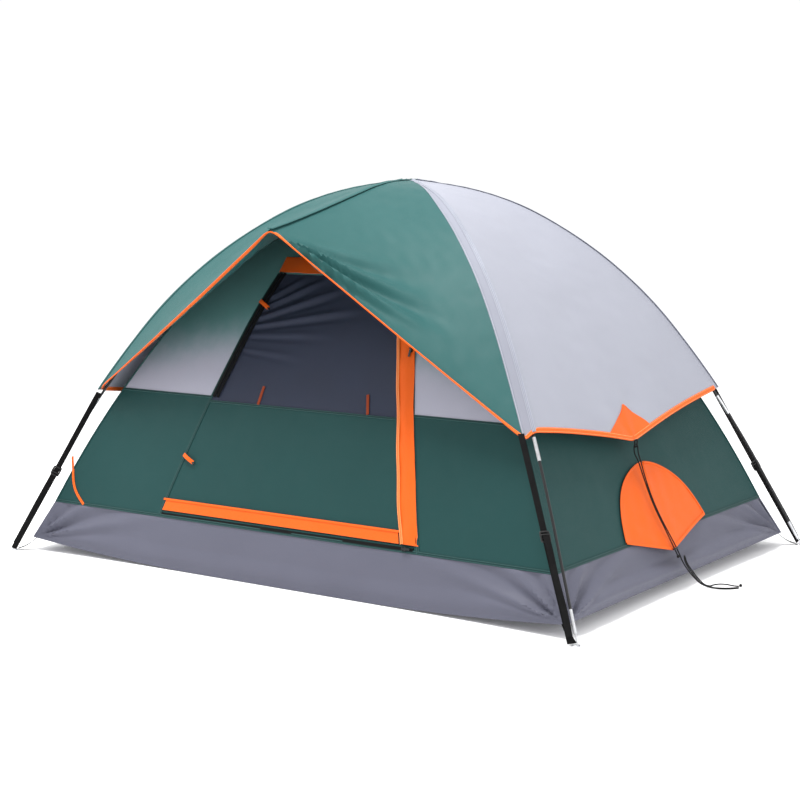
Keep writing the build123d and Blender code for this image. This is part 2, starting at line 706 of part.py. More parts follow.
for label, wall, reach in (("fly_side_right", RIGHT, FOOT_X), ("fly_side_left", LEFT, -FOOT_X)):
    with BuildPart() as fly_side:
        crown_z = pole_curve(CROWN_EDGE, FLY_SKIN)[1]
        wall_loft(wall, FLY_SKIN, FLY_V - 5.0, crown_z, fly_width, strips=8)
        with BuildSketch(Plane.YZ):
            Polygon(*below_side_hem(), align=None)
        extrude(amount=reach, mode=Mode.SUBTRACT)
    save(fly_side.part, label)

PATCH_SKIN = FLY_SKIN + BAND_PROUD
PATCH_MARGIN = 5.0                   # the patch is cut from a strip this much larger


def patch_strip(height, half):
    return -FOOT_Y / 2, FOOT_Y / 2


def patch_outline():
    front, back = FLY_V_Y - PATCH_HALF, FLY_V_Y + PATCH_HALF
    tip = FLY_V_Y + PATCH_LEAN
    return [(FLY_V_Y, FLY_V + 1.0), (back, hem_height(back)), (tip + PATCH_TIP, PATCH_TOP),
            (tip - PATCH_TIP, PATCH_TOP), (front, hem_height(front))]


with BuildPart() as tie_out_patches:
    for wall in (RIGHT, LEFT):
        low, high = FLY_V - PATCH_MARGIN, PATCH_TOP + PATCH_MARGIN
        wall_loft(wall, PATCH_SKIN, low, high, patch_strip, BAND_THICK)
    with BuildSketch(Plane.YZ) as outline:
        Polygon(*patch_outline(), align=None)
    extrude(outline.sketch, amount=FOOT_X, both=True, mode=Mode.INTERSECT)
save(tie_out_patches.part, "fly_tie_out_patches")


def awning_half(sx, sy):
    """Half of the front or back panel, from a pole line across to the ridge."""
    sections = []
    steps = 8
    for index in range(steps + 1):
        share = index / steps
        on_pole = CROWN_HOLE + share * (fly_corner_distance - CROWN_HOLE)
        on_ridge = CROWN_HOLE + share * (RIDGE_HALF - CROWN_HOLE)
        s, pole_z, _ = pole_curve(on_pole, FLY_SKIN)
        ridge_y, ridge_z = ridge_point(on_ridge, RIDGE_SKIN)
        start = Vector(sx * s * CX, sy * s * CY)
        end = Vector(sx * 0.4, sy * ridge_y)
        across = (end - start).normalized()
        width = (end - start).length
        plane = Plane(origin=start, x_dir=across, z_dir=across.cross(Vector(0, 0, 1)))
        with BuildSketch(plane) as strip:
            Polygon((0, pole_z), (width, ridge_z), (width, ridge_z - FABRIC), (0, pole_z - FABRIC),
                    align=None)
        sections.append(strip.sketch)
    loft(sections)


for corner, (sx, sy, _) in CORNERS.items():
    with BuildPart() as awning:
        awning_half(sx, sy)
    save(awning.part, f"fly_{corner}_panel")


# --- straps from the fly's corners to the rings, each with an adjuster ---
STRAP_IN = 8.0                       # the strap's upper end lies this far inside the fly's corner
STRAP_UNDER = 6.0
STRAP_CLEAR = 5.0                    # gap between the strap's lower end and the ring


def strap_ends(sx, sy):
    """Upper and lower ends of a corner strap."""
    corner = corner_plane(sx, sy)
    aside = corner.z_dir * (-sx * sy)
    top = corner.from_local_coords(Vector(fly_corner_s - STRAP_IN, FLY_CORNER - STRAP_UNDER, 0))
    foot = corner.from_local_coords(Vector(RING_S, 2 * RING_WIRE_R + STRAP_CLEAR, 0))
    return top + aside * STRAP_ASIDE_TOP, foot + aside * STRAP_ASIDE_FOOT


def strap_plane(corner, share):
    """Plane across a corner strap: local x along its width, local z down the strap."""
    sx, sy, _ = CORNERS[corner]
    top, foot = strap_ends(sx, sy)
    down = foot - top
    aside = corner_plane(sx, sy).z_dir * (-sx * sy)
    across = aside.rotate(Axis(top, down), STRAP_TWIST[corner])
    return Plane(origin=top + down * share, x_dir=across, z_dir=down)


with BuildPart() as corner_straps:
    for corner, (sx, sy, _) in CORNERS.items():
        top, foot = strap_ends(sx, sy)
        with BuildSketch(strap_plane(corner, 0.0)):
            Rectangle(STRAP_WIDTH, STRAP_THICK)
        extrude(amount=(foot - top).length)
save(corner_straps.part, "fly_corner_straps")

for corner in CORNERS:
    length, width, thick = ADJUSTER
    with BuildPart() as adjuster:
        with BuildSketch(strap_plane(corner, ADJUSTER_SHARE).offset(-length / 2)):
            Rectangle(width, thick)
            Rectangle(*ADJUSTER_SLOT, mode=Mode.SUBTRACT)
        extrude(amount=length)
    save(adjuster.part, f"strap_adjuster_{corner}")


# --- guy lines: a webbing loop on each side, and the line that hangs on the right one ---
v_s = pole_curve(distance_at_height(FLY_V, FLY_SKIN), FLY_SKIN)[0]
LOOP_X = v_s * CX - LOOP[2]

with BuildPart() as guy_loops:
    for side in (-1, 1):
        with BuildSketch(Plane.YZ.offset(side * LOOP_X - LOOP[2] / 2)):
            with Locations((FLY_V_Y, FLY_V - 0.5 - LOOP[1] / 2)):
                RectangleRounded(LOOP[0], LOOP[1], 5.0)
                RectangleRounded(LOOP_HOLE[0], LOOP_HOLE[1], 4.0, mode=Mode.SUBTRACT)
        extrude(amount=LOOP[2])
save(guy_loops.part, "guy_loops")


def cord_radii(route):
    """Radius at each inner point: 0.45 of the shorter run over the tangent of half the turn."""
    radii = []
    for before, point, after in zip(route, route[1:], route[2:]):
        run_in = Vector(*point) - Vector(*before)
        run_out = Vector(*after) - Vector(*point)
        turn = radians(run_in.get_angle(run_out))
        radii.append(0.45 * min(run_in.length, run_out.length) / tan(turn / 2))
    return radii


GUY_RADII = cord_radii(GUY_ROUTE)
print("guy line radii:", [round(radius) for radius in GUY_RADII])

with BuildPart() as guy_line:
    with BuildLine() as guy_path:
        FilletPolyline(*GUY_ROUTE, radius=GUY_RADII)
    with BuildSketch(Plane(origin=guy_path.wire() @ 0, z_dir=guy_path.wire() % 0)):
        Circle(GUY_R)
    sweep(path=guy_path.wire())
save(guy_line.part, "guy_line")
guy_length = guy_path.wire().length
print("guy line length", round(guy_length), "volume ratio",
      round(guy_line.part.volume / (guy_length * pi * GUY_R ** 2), 4))

with BuildPart() as guy_knots:
    for end, before in ((GUY_ROUTE[0], GUY_ROUTE[1]), (GUY_ROUTE[-1], GUY_ROUTE[-2])):
        outwards = (Vector(*end) - Vector(*before)).normalized()
        centre = Vector(*end) + outwards * GUY_KNOT_R
        with Locations((centre.X, centre.Y, max(centre.Z, GUY_KNOT_R + 0.2))):
            Sphere(GUY_KNOT_R)
save(guy_knots.part, "guy_line_knot")

run_start = Vector(*GUY_ROUTE[TENSIONER_RUN])
run_end = Vector(*GUY_ROUTE[TENSIONER_RUN + 1])
with BuildPart() as tensioner:
    bar = Plane(origin=(run_start + run_end) / 2, x_dir=(0, -1, 0), z_dir=run_end - run_start)
    with BuildSketch(bar.offset(-TENSIONER[2] / 2)):
        with Locations((TENSIONER_PITCH / 2, 0)):
            SlotOverall(TENSIONER[0], TENSIONER[1])
        with Locations((0, 0), (TENSIONER_PITCH, 0)):
            Circle(TENSIONER_HOLE_R, mode=Mode.SUBTRACT)
    extrude(amount=TENSIONER[2])
save(tensioner.part, "guy_line_tensioner")
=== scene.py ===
from math import cos, hypot, pi, radians, sin, tau

import bmesh
import bpy
import numpy as np
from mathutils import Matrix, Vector


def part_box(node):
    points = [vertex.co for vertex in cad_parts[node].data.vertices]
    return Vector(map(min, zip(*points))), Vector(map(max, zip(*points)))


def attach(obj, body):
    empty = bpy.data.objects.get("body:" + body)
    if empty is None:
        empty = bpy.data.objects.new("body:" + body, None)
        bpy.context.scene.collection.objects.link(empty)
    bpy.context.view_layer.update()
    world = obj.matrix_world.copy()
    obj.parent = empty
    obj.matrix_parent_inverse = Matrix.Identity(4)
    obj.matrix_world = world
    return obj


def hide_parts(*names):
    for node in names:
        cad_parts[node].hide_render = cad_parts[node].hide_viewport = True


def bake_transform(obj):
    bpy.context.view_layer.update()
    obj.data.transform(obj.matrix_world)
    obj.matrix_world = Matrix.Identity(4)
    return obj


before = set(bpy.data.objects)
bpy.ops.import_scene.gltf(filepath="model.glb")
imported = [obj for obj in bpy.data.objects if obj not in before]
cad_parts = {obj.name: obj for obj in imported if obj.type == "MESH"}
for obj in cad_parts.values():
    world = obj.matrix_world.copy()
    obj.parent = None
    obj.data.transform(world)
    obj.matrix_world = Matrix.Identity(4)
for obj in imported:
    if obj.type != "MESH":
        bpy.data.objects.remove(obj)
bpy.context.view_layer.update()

# Two-person dome tent, pitched. Metres, +Z up, front door towards -Y, origin under the crown.

# --- poles: the same driving dimensions as the frame's tubes ---
FOOT_X, FOOT_Y = 1.100, 0.803
DIAGONAL = hypot(FOOT_X, FOOT_Y)
CX, CY = FOOT_X / DIAGONAL, FOOT_Y / DIAGONAL
CROWN = 1.247
ARC_RADII = (0.930, 1.482, 3.367)
ARC_ENDS = (27.73, 50.75, 61.0)
RING_WIRE_R = 0.0016
RING_R = 0.011
RIDGE_RADIUS = 1.100
RIDGE_SLOPE = radians(14.0)
RIDGE_HALF = 0.773
RIDGE_POLE_Z = 1.261
RIDGE_SKIN = 0.0088

# --- inner tent ---
INNER_GAP = 0.055
TUB_TOP = 0.170
BAND_TOP = 0.560
WALL_TOP = 1.176
FLOOR_Y_MIDDLE, FLOOR_X_MIDDLE = 0.738, 1.034
FLOOR_CORNER = 1.300                # diagonal distance of the floor's lifted corners
FLOOR_CORNER_Z = 0.044
SIDE_EDGE_Z = 0.035                 # the floor's side edges stand this high off the ground
DOOR_BOTTOM, DOOR_TOP = 0.190, 0.960
DOOR_HALF_BOTTOM, DOOR_HALF_TOP = 0.500, 0.276
DOOR_BAND = 0.546                   # height of the seam between the door's green and its netting
FOLD_SHARE = 0.2
SPLIT_SHARE = -0.4                  # where the door's two sheets meet
SIDE_BAND, BOTTOM_BAND, TOP_BAND = 0.052, 0.036, 0.038
SEAM_GAP = 0.0015
DOOR_LOW_EDGE = DOOR_BOTTOM + SEAM_GAP
FLAP_IN, FLAP_OUT = 0.046, 0.018    # the door's side flap, from the door's edge
TOGGLE_HEIGHTS = (0.371, 0.869)
NET_TIES = ((-0.196, 0.549, 0.004), (0.239, 0.551, -0.010))     # x, height and lean of each tie
WINDOW_LOW, WINDOW_HIGH = 0.650, 0.960
WINDOW_HALF_LOW, WINDOW_HALF_HIGH = 0.340, 0.220

# --- rain fly ---
FLY_SKIN = 0.015
FLY_CORNER = 0.557
FLY_V = 0.469
FLY_V_Y = -0.075                    # front-to-back place of the side hems' lowest points
TAPE_WIDTH = 0.048                  # grey tape along the front right and back left pole lines
PEAK_RISE = 0.010                   # how far the binding stands up at the awnings' peaks
TAPE_DROP = 0.056                   # how far the tape's end hangs below the pole line's hem
STRAP_WIDTH = 0.020
STRAP_TWIST = {"front_left": 65.0, "front_right": 0.0, "back_left": 0.0, "back_right": 65.0}
PATCH_HALF, PATCH_TIP, PATCH_TOP, PATCH_LEAN = 0.140, 0.018, 0.575, 0.025

CLOTH = 0.0008                      # thickness of the thin fabrics
BAND = 0.0014
CORE = np.array((0.0, 0.0, 0.35))   # a point inside the tent that tells out from in
CORNERS = {"front_left": (-1, -1), "front_right": (1, -1), "back_left": (-1, 1), "back_right": (1, 1)}
HEM_WIDE, HEM_NARROW = 0.95, 0.62   # share of the binding's full width at the sides and at the ends
LOCK_SHARE = 0.5                    # where the ladder lock sits on its strap

# --- camera and studio ---
LENS, SENSOR = 79.4, 36.0
CAMERA_PLACE, CAMERA_AIM = (3.390, -4.985, 1.303), (-0.040, 0.0, 0.514)
WORLD_STRENGTH = 1.02
LAMPS = {                           # place, aim, width and height, power
    "key": ((-0.3, -1.4, 5.4), (0, 0, 0.5), (1.8, 1.8), 315.0),
    "fill": ((-4.2, -2.4, 3.4), (0, 0, 0.6), (3.0, 2.4), 72.0),
    "side": ((4.8, -0.8, 1.5), (0, 0, 0.4), (2.6, 2.0), 34.0),
}
STAGE_HALF = 40.0

# --- guy line ---
GUY_R = 0.002
GUY_ROUTE = (
    (1.0524, -.0647, .1156), (1.0254, -.0681, .1661), (1.009, -.065, .192), (.986, -.067, .232),
    (.963, -.067, .275), (.941, -.062, .319), (.925, -.064, .361), (.914, -.071, .401),
    (.903, -.079, .425), (.902, -.077, .453), (.912, -.073, .453), (.912, -.069, .425),
    (.916, -.059, .4), (.926, -.054, .36), (.942, -.055, .318), (.964, -.06, .274), (.987, -.06, .231),
    (1.01, -.056, .19), (1.034, -.053, .15), (1.05, -.051, .12), (1.062, -.046, .09),
    (1.074, -.028, .06), (1.086, -.004, .032), (1.1, .014, .012), (1.122, .03, .004),
    (1.15, .042, .0023), (1.178, .062, .0023), (1.19, .08, .0023), (1.199, .078, .0023),
    (1.184, .054, .0023), (1.156, .033, .0023), (1.127, .02, .005), (1.107, .003, .015),
    (1.094, -.015, .037), (1.083, -.038, .066), (1.073, -.055, .094), (1.067, -.049, .112),
    (1.064, -.037, .11), (1.068, -.031, .086), (1.08, -.012, .057), (1.09, .01, .03),
    (1.102, .028, .01), (1.114, .046, .003), (1.112, .07, .0023), (1.124, .096, .0023),
    (1.15, .102, .0023), (1.172, .094, .0023), (1.188, .1, .0023),
)


# ---------------------------------------------------------------- camera and cord
def make_camera():
    data = bpy.data.cameras.new("camera")
    data.sensor_width = SENSOR
    data.lens = LENS
    camera = bpy.data.objects.new("camera", data)
    camera.location = CAMERA_PLACE
    aim = Vector(CAMERA_AIM) - camera.location
    camera.rotation_euler = aim.to_track_quat("-Z", "Y").to_euler()
    bpy.context.scene.collection.objects.link(camera)
    bpy.context.scene.camera = camera


def make_guy_line(material):
    data = bpy.data.curves.new("guy_line_cord", "CURVE")
    data.dimensions = "3D"
    data.bevel_depth = GUY_R
    data.bevel_resolution = 4
    data.resolution_u = 8
    data.use_fill_caps = True
    spline = data.splines.new("NURBS")
    spline.points.add(len(GUY_ROUTE) - 1)
    for point, place in zip(spline.points, GUY_ROUTE):
        point.co = (*place, 1.0)
    spline.order_u = 3
    spline.use_endpoint_u = True
    data.materials.append(material)
    cord = bpy.data.objects.new("guy_line_cord", data)
    bpy.context.scene.collection.objects.link(cord)
    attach(cord, "rain_fly")
    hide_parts("guy_line")


# ---------------------------------------------------------------- materials
class Nodes:
    """A material's node tree, with one short call for each kind of node."""

    def __init__(self, name):
        self.material = bpy.data.materials.new(name)
        self.material.use_nodes = True
        self.tree = self.material.node_tree
        self.shader = self.tree.nodes["Principled BSDF"]

    def add(self, kind, **settings):
        node = self.tree.nodes.new(kind)
        for key, value in settings.items():
            if hasattr(node, key):
                setattr(node, key, value)
            else:
                node.inputs[key.replace("_", " ")].default_value = value
        return node

    def link(self, output, target):
        self.tree.links.new(output, target)

    def times(self, first, second):
        return self.math("MULTIPLY", first, second)

    def size(self, value):
        return self.math("ABSOLUTE", value)

    def wave(self, value, period):
        return self.math("SINE", self.times(value, tau / period))

    def place(self):
        return self.add("ShaderNodeTexCoord").outputs["Object"]

    def axes(self, vector):
        node = self.add("ShaderNodeSeparateXYZ")
        self.link(vector, node.inputs[0])
        return node.outputs

    def cloth_axes(self):
        """Distances in metres across and along the cloth, from the mesh's cloth layer."""
        return self.axes(self.add("ShaderNodeUVMap", uv_map="cloth").outputs["UV"])

    def math(self, operation, first, second=0.0):
        node = self.add("ShaderNodeMath", operation=operation)
        for socket, value in zip(node.inputs, (first, second)):
            if isinstance(value, (int, float)):
                socket.default_value = value
            else:
                self.link(value, socket)
        return node.outputs[0]

    def mix(self, factor, dark, light):
        node = self.add("ShaderNodeMix", data_type="RGBA")
        self.link(factor, node.inputs["Factor"])
        for socket, colour in ((node.inputs[6], dark), (node.inputs[7], light)):
            if isinstance(colour, tuple):
                socket.default_value = (*colour, 1.0)
            else:
                self.link(colour, socket)
        return node.outputs[2]

    def noise(self, vector, scale, detail=3.0):
        node = self.add("ShaderNodeTexNoise", Scale=scale, Detail=detail)
        self.link(vector, node.inputs["Vector"])
        return node.outputs["Fac"]

    def spread(self, factor, low, high):
        node = self.add("ShaderNodeMapRange", To_Min=low, To_Max=high)
        self.link(factor, node.inputs["Value"])
        return node.outputs["Result"]

    def bump(self, height, distance, strength=1.0, below=None):
        node = self.add("ShaderNodeBump", Distance=distance, Strength=strength)
        self.link(height, node.inputs["Height"])
        if below is not None:
            self.link(below, node.inputs["Normal"])
        return node.outputs["Normal"]

    def finish(self, colour, roughness, normal, **constants):
        self.link(colour, self.shader.inputs["Base Color"])
        self.link(roughness, self.shader.inputs["Roughness"])
        self.link(normal, self.shader.inputs["Normal"])
        for key, value in constants.items():
            self.shader.inputs[key.replace("_", " ")].default_value = value
        return self.material


def linear(red, green, blue):
    """Scene colour of an sRGB colour given from 0 to 255."""
    values = [value / 255 for value in (red, green, blue)]
    return tuple(v / 12.92 if v < 0.04045 else ((v + 0.055) / 1.055) ** 2.4 for v in values)


def shade(colour, factor):
    return tuple(min(value * factor, 1.0) for value in colour)


def fabric(name, colour, thread=0.0011, roughness=0.62, variation=0.08, sheen=0.05, depth=0.00018,
           lower=None, lower_span=(0.0, 1.0)):
    """Coated woven cloth: threads both ways, slubs, faint cloudy colour and handling creases.

    A second colour given as lower takes over below the heights of lower_span, where height is counted as the
    height plus 0.16 of the distance from the middle: the main colour above it is a painted shade that
    deepens upwards and towards the sides.
    """
    n = Nodes(name)
    place, split = n.place(), n.cloth_axes()
    warp = n.wave(split[0], thread)
    weft = n.wave(split[1], thread)
    weave = n.spread(n.times(warp, weft), 0.0, 1.0)
    cloud = n.noise(place, 5.0, 4.0)
    slub = n.noise(place, 160.0, 2.0)
    crease = n.noise(place, 22.0, 5.0)
    tone = n.mix(n.spread(cloud, 0.0, 1.0), shade(colour, 1 - variation), shade(colour, 1 + variation))
    # painted shade: the lower colour shows low down, and the main colour takes over higher up and further
    # out to the sides
    if lower is not None:
        spot = n.axes(place)
        aside = n.times(n.size(spot[0]), 0.16)
        rise = n.math("ADD", spot[2], aside)
        share = n.add("ShaderNodeMapRange", interpolation_type="SMOOTHSTEP")
        share.inputs["From Min"].default_value = lower_span[0]
        share.inputs["From Max"].default_value = lower_span[1]
        n.link(n.math("ADD", rise, n.times(crease, 0.05)), share.inputs["Value"])
        tone = n.mix(share.outputs["Result"], lower, tone)
    thread_tone = n.mix(n.times(weave, 0.10), tone, shade(colour, 0.6))
    normal = n.bump(crease, 0.0012, 0.35)
    normal = n.bump(slub, 0.0003, 0.5, normal)
    normal = n.bump(weave, depth, 0.6, normal)
    rough = n.spread(crease, roughness - 0.07, roughness + 0.07)
    return n.finish(thread_tone, rough, normal, Sheen_Weight=sheen, Sheen_Roughness=0.45,
                    Specular_IOR_Level=0.22)


def stitched(name, colour, thread_colour, half_width, inset=0.0018, roughness=0.6):
    """A folded seam or band: a row of stitches near each edge, and cloth between them."""
    n = Nodes(name)
    place, split = n.place(), n.cloth_axes()
    from_middle = n.size(split[0])
    from_row = n.size(n.math("SUBTRACT", from_middle, half_width - inset))
    on_row = n.math("LESS_THAN", from_row, 0.0007)
    beat = n.math("FRACT", n.math("DIVIDE", split[1], 0.0036))
    stitch = n.times(on_row, n.math("LESS_THAN", beat, 0.72))
    cloud = n.noise(place, 9.0, 4.0)
    pucker = n.noise(place, 120.0, 2.0)
    tone = n.mix(n.spread(cloud, 0.0, 1.0), shade(colour, 0.88), shade(colour, 1.12))
    tone = n.mix(n.times(on_row, 0.35), tone, shade(colour, 0.4))
    tone = n.mix(stitch, tone, thread_colour)
    normal = n.bump(pucker, 0.0005, 0.6)
    normal = n.bump(n.math("SUBTRACT", stitch, on_row), 0.0006, 0.8, normal)
    rough = n.spread(pucker, roughness - 0.06, roughness + 0.08)
    return n.finish(tone, rough, normal, Sheen_Weight=0.04, Specular_IOR_Level=0.22)


def mesh_cloth(name, colour, opacity):
    """No-see-um netting, fine enough to look like a dark veil."""
    n = Nodes(name)
    place, split = n.place(), n.cloth_axes()
    across = n.wave(split[0], 0.0016)
    along = n.wave(split[1], 0.0016)
    knots = n.spread(n.times(across, along), 0.0, 1.0)
    cloud = n.noise(place, 7.0, 4.0)
    tone = n.mix(n.spread(cloud, 0.0, 1.0), shade(colour, 0.85), shade(colour, 1.15))
    tone = n.mix(n.times(knots, 0.25), tone, shade(colour, 0.5))
    rough = n.spread(cloud, 0.55, 0.75)
    n.finish(tone, rough, n.bump(knots, 0.0004, 0.7), Alpha=opacity, Specular_IOR_Level=0.3)
    return n.material


def webbing(name, colour, rib=0.0022):
    """Woven strap: ribs across it, a selvedge, painted shade in the grooves with painted highlights on the
    ribs, and faint pale dust.
    """
    n = Nodes(name)
    place, split = n.place(), n.cloth_axes()
    zigzag = n.math("PINGPONG", split[0], 0.0025)
    ribs = n.wave(n.math("ADD", split[1], zigzag), rib)
    height = n.spread(ribs, 0.0, 1.0)
    dust = n.noise(place, 30.0, 4.0)
    # painted shade in the grooves and painted highlight on the rib tops
    tone = n.mix(height, shade(colour, 0.55), shade(colour, 1.35))
    tone = n.mix(n.times(dust, 0.03), tone, linear(150, 148, 145))
    return n.finish(tone, n.spread(dust, 0.55, 0.8), n.bump(height, 0.0005, 0.8),
                    Sheen_Weight=0.0, Specular_IOR_Level=0.08)


def moulded(name, colour, roughness=0.42, grain=400.0):
    """Moulded plastic or painted fibreglass: fine grain, scuffs and lighter worn patches."""
    n = Nodes(name)
    place = n.place()
    fine = n.noise(place, grain, 3.0)
    scuff = n.noise(place, 35.0, 6.0)
    tone = n.mix(n.spread(scuff, 0.0, 1.0), shade(colour, 0.75), shade(colour, 1.5))
    return n.finish(tone, n.spread(scuff, roughness - 0.1, roughness + 0.14), n.bump(fine, 0.0002, 0.5),
                    Specular_IOR_Level=0.5)


def steel(name, colour=(0.62, 0.63, 0.65), roughness=0.26):
    """Drawn steel: long fine scratches, smudges and a few dull spots."""
    n = Nodes(name)
    place = n.place()
    smudge = n.noise(place, 45.0, 5.0)
    scratch = n.noise(place, 900.0, 2.0)
    tone = n.mix(smudge, shade(colour, 0.72), shade(colour, 1.25))
    return n.finish(tone, n.spread(smudge, roughness - 0.08, roughness + 0.16),
                    n.bump(scratch, 0.0001, 0.4), Metallic=1.0)


def braided(name, colour):
    """Braided cord: diagonal strands both ways round the sheath, with painted shade between them and painted
    highlights on them.
    """
    n = Nodes(name)
    split = n.axes(n.place())
    total = n.math("ADD", n.math("ADD", split[0], split[1]), split[2])
    other = n.math("SUBTRACT", n.math("SUBTRACT", split[0], split[1]), split[2])
    strands = n.times(n.wave(total, 0.0017), n.wave(other, 0.0017))
    height = n.spread(strands, 0.0, 1.0)
    # painted shade between the strands and painted highlight on their crowns
    tone = n.mix(height, shade(colour, 0.5), shade(colour, 1.6))
    return n.finish(tone, n.spread(height, 0.6, 0.8), n.bump(height, 0.0004, 0.8), Sheen_Weight=0.02,
                    Specular_IOR_Level=0.25)


GREEN_THREAD = linear(52, 92, 90)
ORANGE_THREAD = linear(255, 168, 110)

WALL_GREEN = linear(14, 58, 57)
TUB_GREY = linear(89, 90, 104)
FLY_GREEN = linear(33, 83, 82)
FLY_GREY = linear(152, 154, 165)
INNER_GREY = linear(148, 154, 168)
ORANGE = linear(224, 92, 15)

M = {
    "wall_green": fabric("wall_green", WALL_GREEN),
    "wall_grey": fabric("wall_grey", INNER_GREY, roughness=0.55),
    "tub_grey": fabric("tub_grey", TUB_GREY, thread=0.0016, roughness=0.5, depth=0.0003),
    "fly_green": fabric("fly_green", FLY_GREEN, roughness=0.5, variation=0.05),
    "fly_grey": fabric("fly_grey", FLY_GREY, roughness=0.5, variation=0.05),
    "orange": fabric("orange_cloth", ORANGE, variation=0.06),
    # painted shade: the net ties are drawn in a darker orange, as if seen through the netting
    "orange_painted_shade": fabric("orange_painted_net_shade", linear(132, 50, 14)),
    # painted shade: the fly's green shade painted on the upper front walls, fading to pale grey low down
    "wall_painted_shade": fabric("wall_painted_fly_shade", linear(88, 132, 130), roughness=0.55,
                          lower=linear(160, 160, 174), lower_span=(0.74, 0.93)),
    "window_mesh": mesh_cloth("window_mesh", linear(46, 52, 70), 0.90),
    "seam_green": stitched("seam_green", shade(WALL_GREEN, 0.62), GREEN_THREAD, 0.005),
    "seam_fly": stitched("seam_fly", shade(FLY_GREEN, 0.86), shade(FLY_GREEN, 0.7), 0.006),
    "ridge_sleeve": stitched("ridge_sleeve", FLY_GREEN, shade(FLY_GREEN, 0.75), 0.0105),
    "tape_grey": fabric("tape_grey", linear(136, 138, 149)),
    "tape_seam": stitched("tape_seam", linear(146, 149, 160), linear(112, 115, 126), 0.004),
    "binding": stitched("binding", ORANGE, ORANGE_THREAD, 0.008, 0.0022),
    "edge_light": stitched("edge_light", linear(214, 112, 52), ORANGE_THREAD, 0.0056, 0.0020),
    "seam_tub": stitched("seam_tub", shade(TUB_GREY, 0.8), shade(TUB_GREY, 1.3), 0.004),
    "zip_black": webbing("zip_black", linear(13, 13, 15), rib=0.0020),
    "webbing": webbing("webbing_black", linear(10, 10, 12)),
    "zip_metal": moulded("zip_metal", linear(15, 15, 17), 0.3),
    "steel": steel("pole_steel"),
    "pole": moulded("fibreglass_black", linear(15, 15, 17), 0.34, 250.0),
    "plastic": moulded("black_plastic", linear(8, 8, 9)),
    "cord": braided("guy_cord", linear(5, 5, 6)),
    "shock": braided("shock_cord", linear(190, 190, 188)),
}

# The camera and the guy line come first in the making.
make_camera()
make_guy_line(M["cord"])

CARRIED = {
    "steel": ("pole_ferrules", "pole_tips", "foot_pins", "foot_rings", "ridge_pole_ferrules"),
    "pole": ("front_left_pole_tubes", "front_right_pole_tubes", "ridge_pole_tubes"),
    "shock": ("pole_shock_cords", "ridge_pole_shock_cord"),
    "plastic": ("pole_clips", "guy_line_tensioner"),
    "zip_metal": ("side_zip_slider", "side_zip_pull", "bottom_zip_slider", "bottom_zip_pull"),
    "zip_black": ("door_zip_coils",),
    "webbing": ("clip_tabs", "guy_loops"),
    "cord": ("guy_line_knot",),
}
for key, names in CARRIED.items():
    for node_name in names:
        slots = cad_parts[node_name].data.materials
        slots.clear()
        slots.append(M[key])


# ---------------------------------------------------------------- curves of the tent
def pole_curve(distance, outward=0.0):
    """Diagonal distance, height and slope on the pole curve, at distances from the crown."""
    distance = np.asarray(distance, float)
    s = np.zeros_like(distance)
    z = np.full_like(distance, CROWN)
    here = np.zeros_like(distance)
    start, slope = 0.0, 0.0
    for radius, end_degrees in zip(ARC_RADII, ARC_ENDS):
        end = radians(end_degrees)
        run = np.clip(distance - start, 0.0, radius * (end - slope))
        here = np.where(distance > start, slope + run / radius, here)
        s += radius * (np.sin(slope + run / radius) - sin(slope))
        z += radius * (np.cos(slope + run / radius) - cos(slope))
        start += radius * (end - slope)
        slope = end
    run = np.maximum(distance - start, 0.0)
    s += run * cos(slope) + outward * np.sin(here)
    z += outward * np.cos(here) - run * sin(slope)
    return s, z, here


def distance_at_height(height, outward=0.0):
    stops = np.linspace(0.0, 2.3, 4601)
    return np.interp(-np.asarray(height, float), -pole_curve(stops, outward)[1], stops)


def ridge_point(distance, above=RIDGE_SKIN):
    slope = np.minimum(np.asarray(distance, float) / RIDGE_RADIUS, RIDGE_SLOPE)
    run = np.maximum(distance - RIDGE_RADIUS * RIDGE_SLOPE, 0.0)
    y = (RIDGE_RADIUS + above) * np.sin(slope) + run * np.cos(slope)
    z = RIDGE_POLE_Z - RIDGE_RADIUS + (RIDGE_RADIUS + above) * np.cos(slope) - run * np.sin(slope)
    return y, z


def smooth(value, low, high):
    """0 below low, 1 above high, and a smooth step between them."""
    t = np.clip((np.asarray(value, float) - low) / (high - low), 0.0, 1.0)
    return t * t * (3 - 2 * t)


def ripple(points, size, seed, waves=8):
    """Smooth unevenness, about -1 to 1, with features of about that size."""
    rng = np.random.default_rng(seed)
    total = np.zeros(points.shape[:-1])
    for _ in range(waves):
        direction = rng.normal(size=3)
        direction *= rng.uniform(0.6, 1.5) * tau / size / np.linalg.norm(direction)
        total += np.sin(points @ direction + rng.uniform(0, tau))
    return total / waves ** 0.5 / 1.4


# ---------------------------------------------------------------- mesh builders
def normals_of(grid):
    """Outward unit normals of a grid of points."""
    normal = np.cross(np.gradient(grid, axis=0), np.gradient(grid, axis=1))
    length = np.linalg.norm(normal, axis=2, keepdims=True)
    normal = np.where(length > 1e-12, normal / np.maximum(length, 1e-12), 0.0)
    sign = np.sign(np.sum(normal * (grid - CORE)))
    flat_rows = length[..., 0].max(axis=1) < 1e-9
    for row in np.nonzero(flat_rows)[0]:
        normal[row] = normal[row + 1 if row == 0 else row - 1].mean(axis=0)
    return normal * (sign if sign else 1.0)


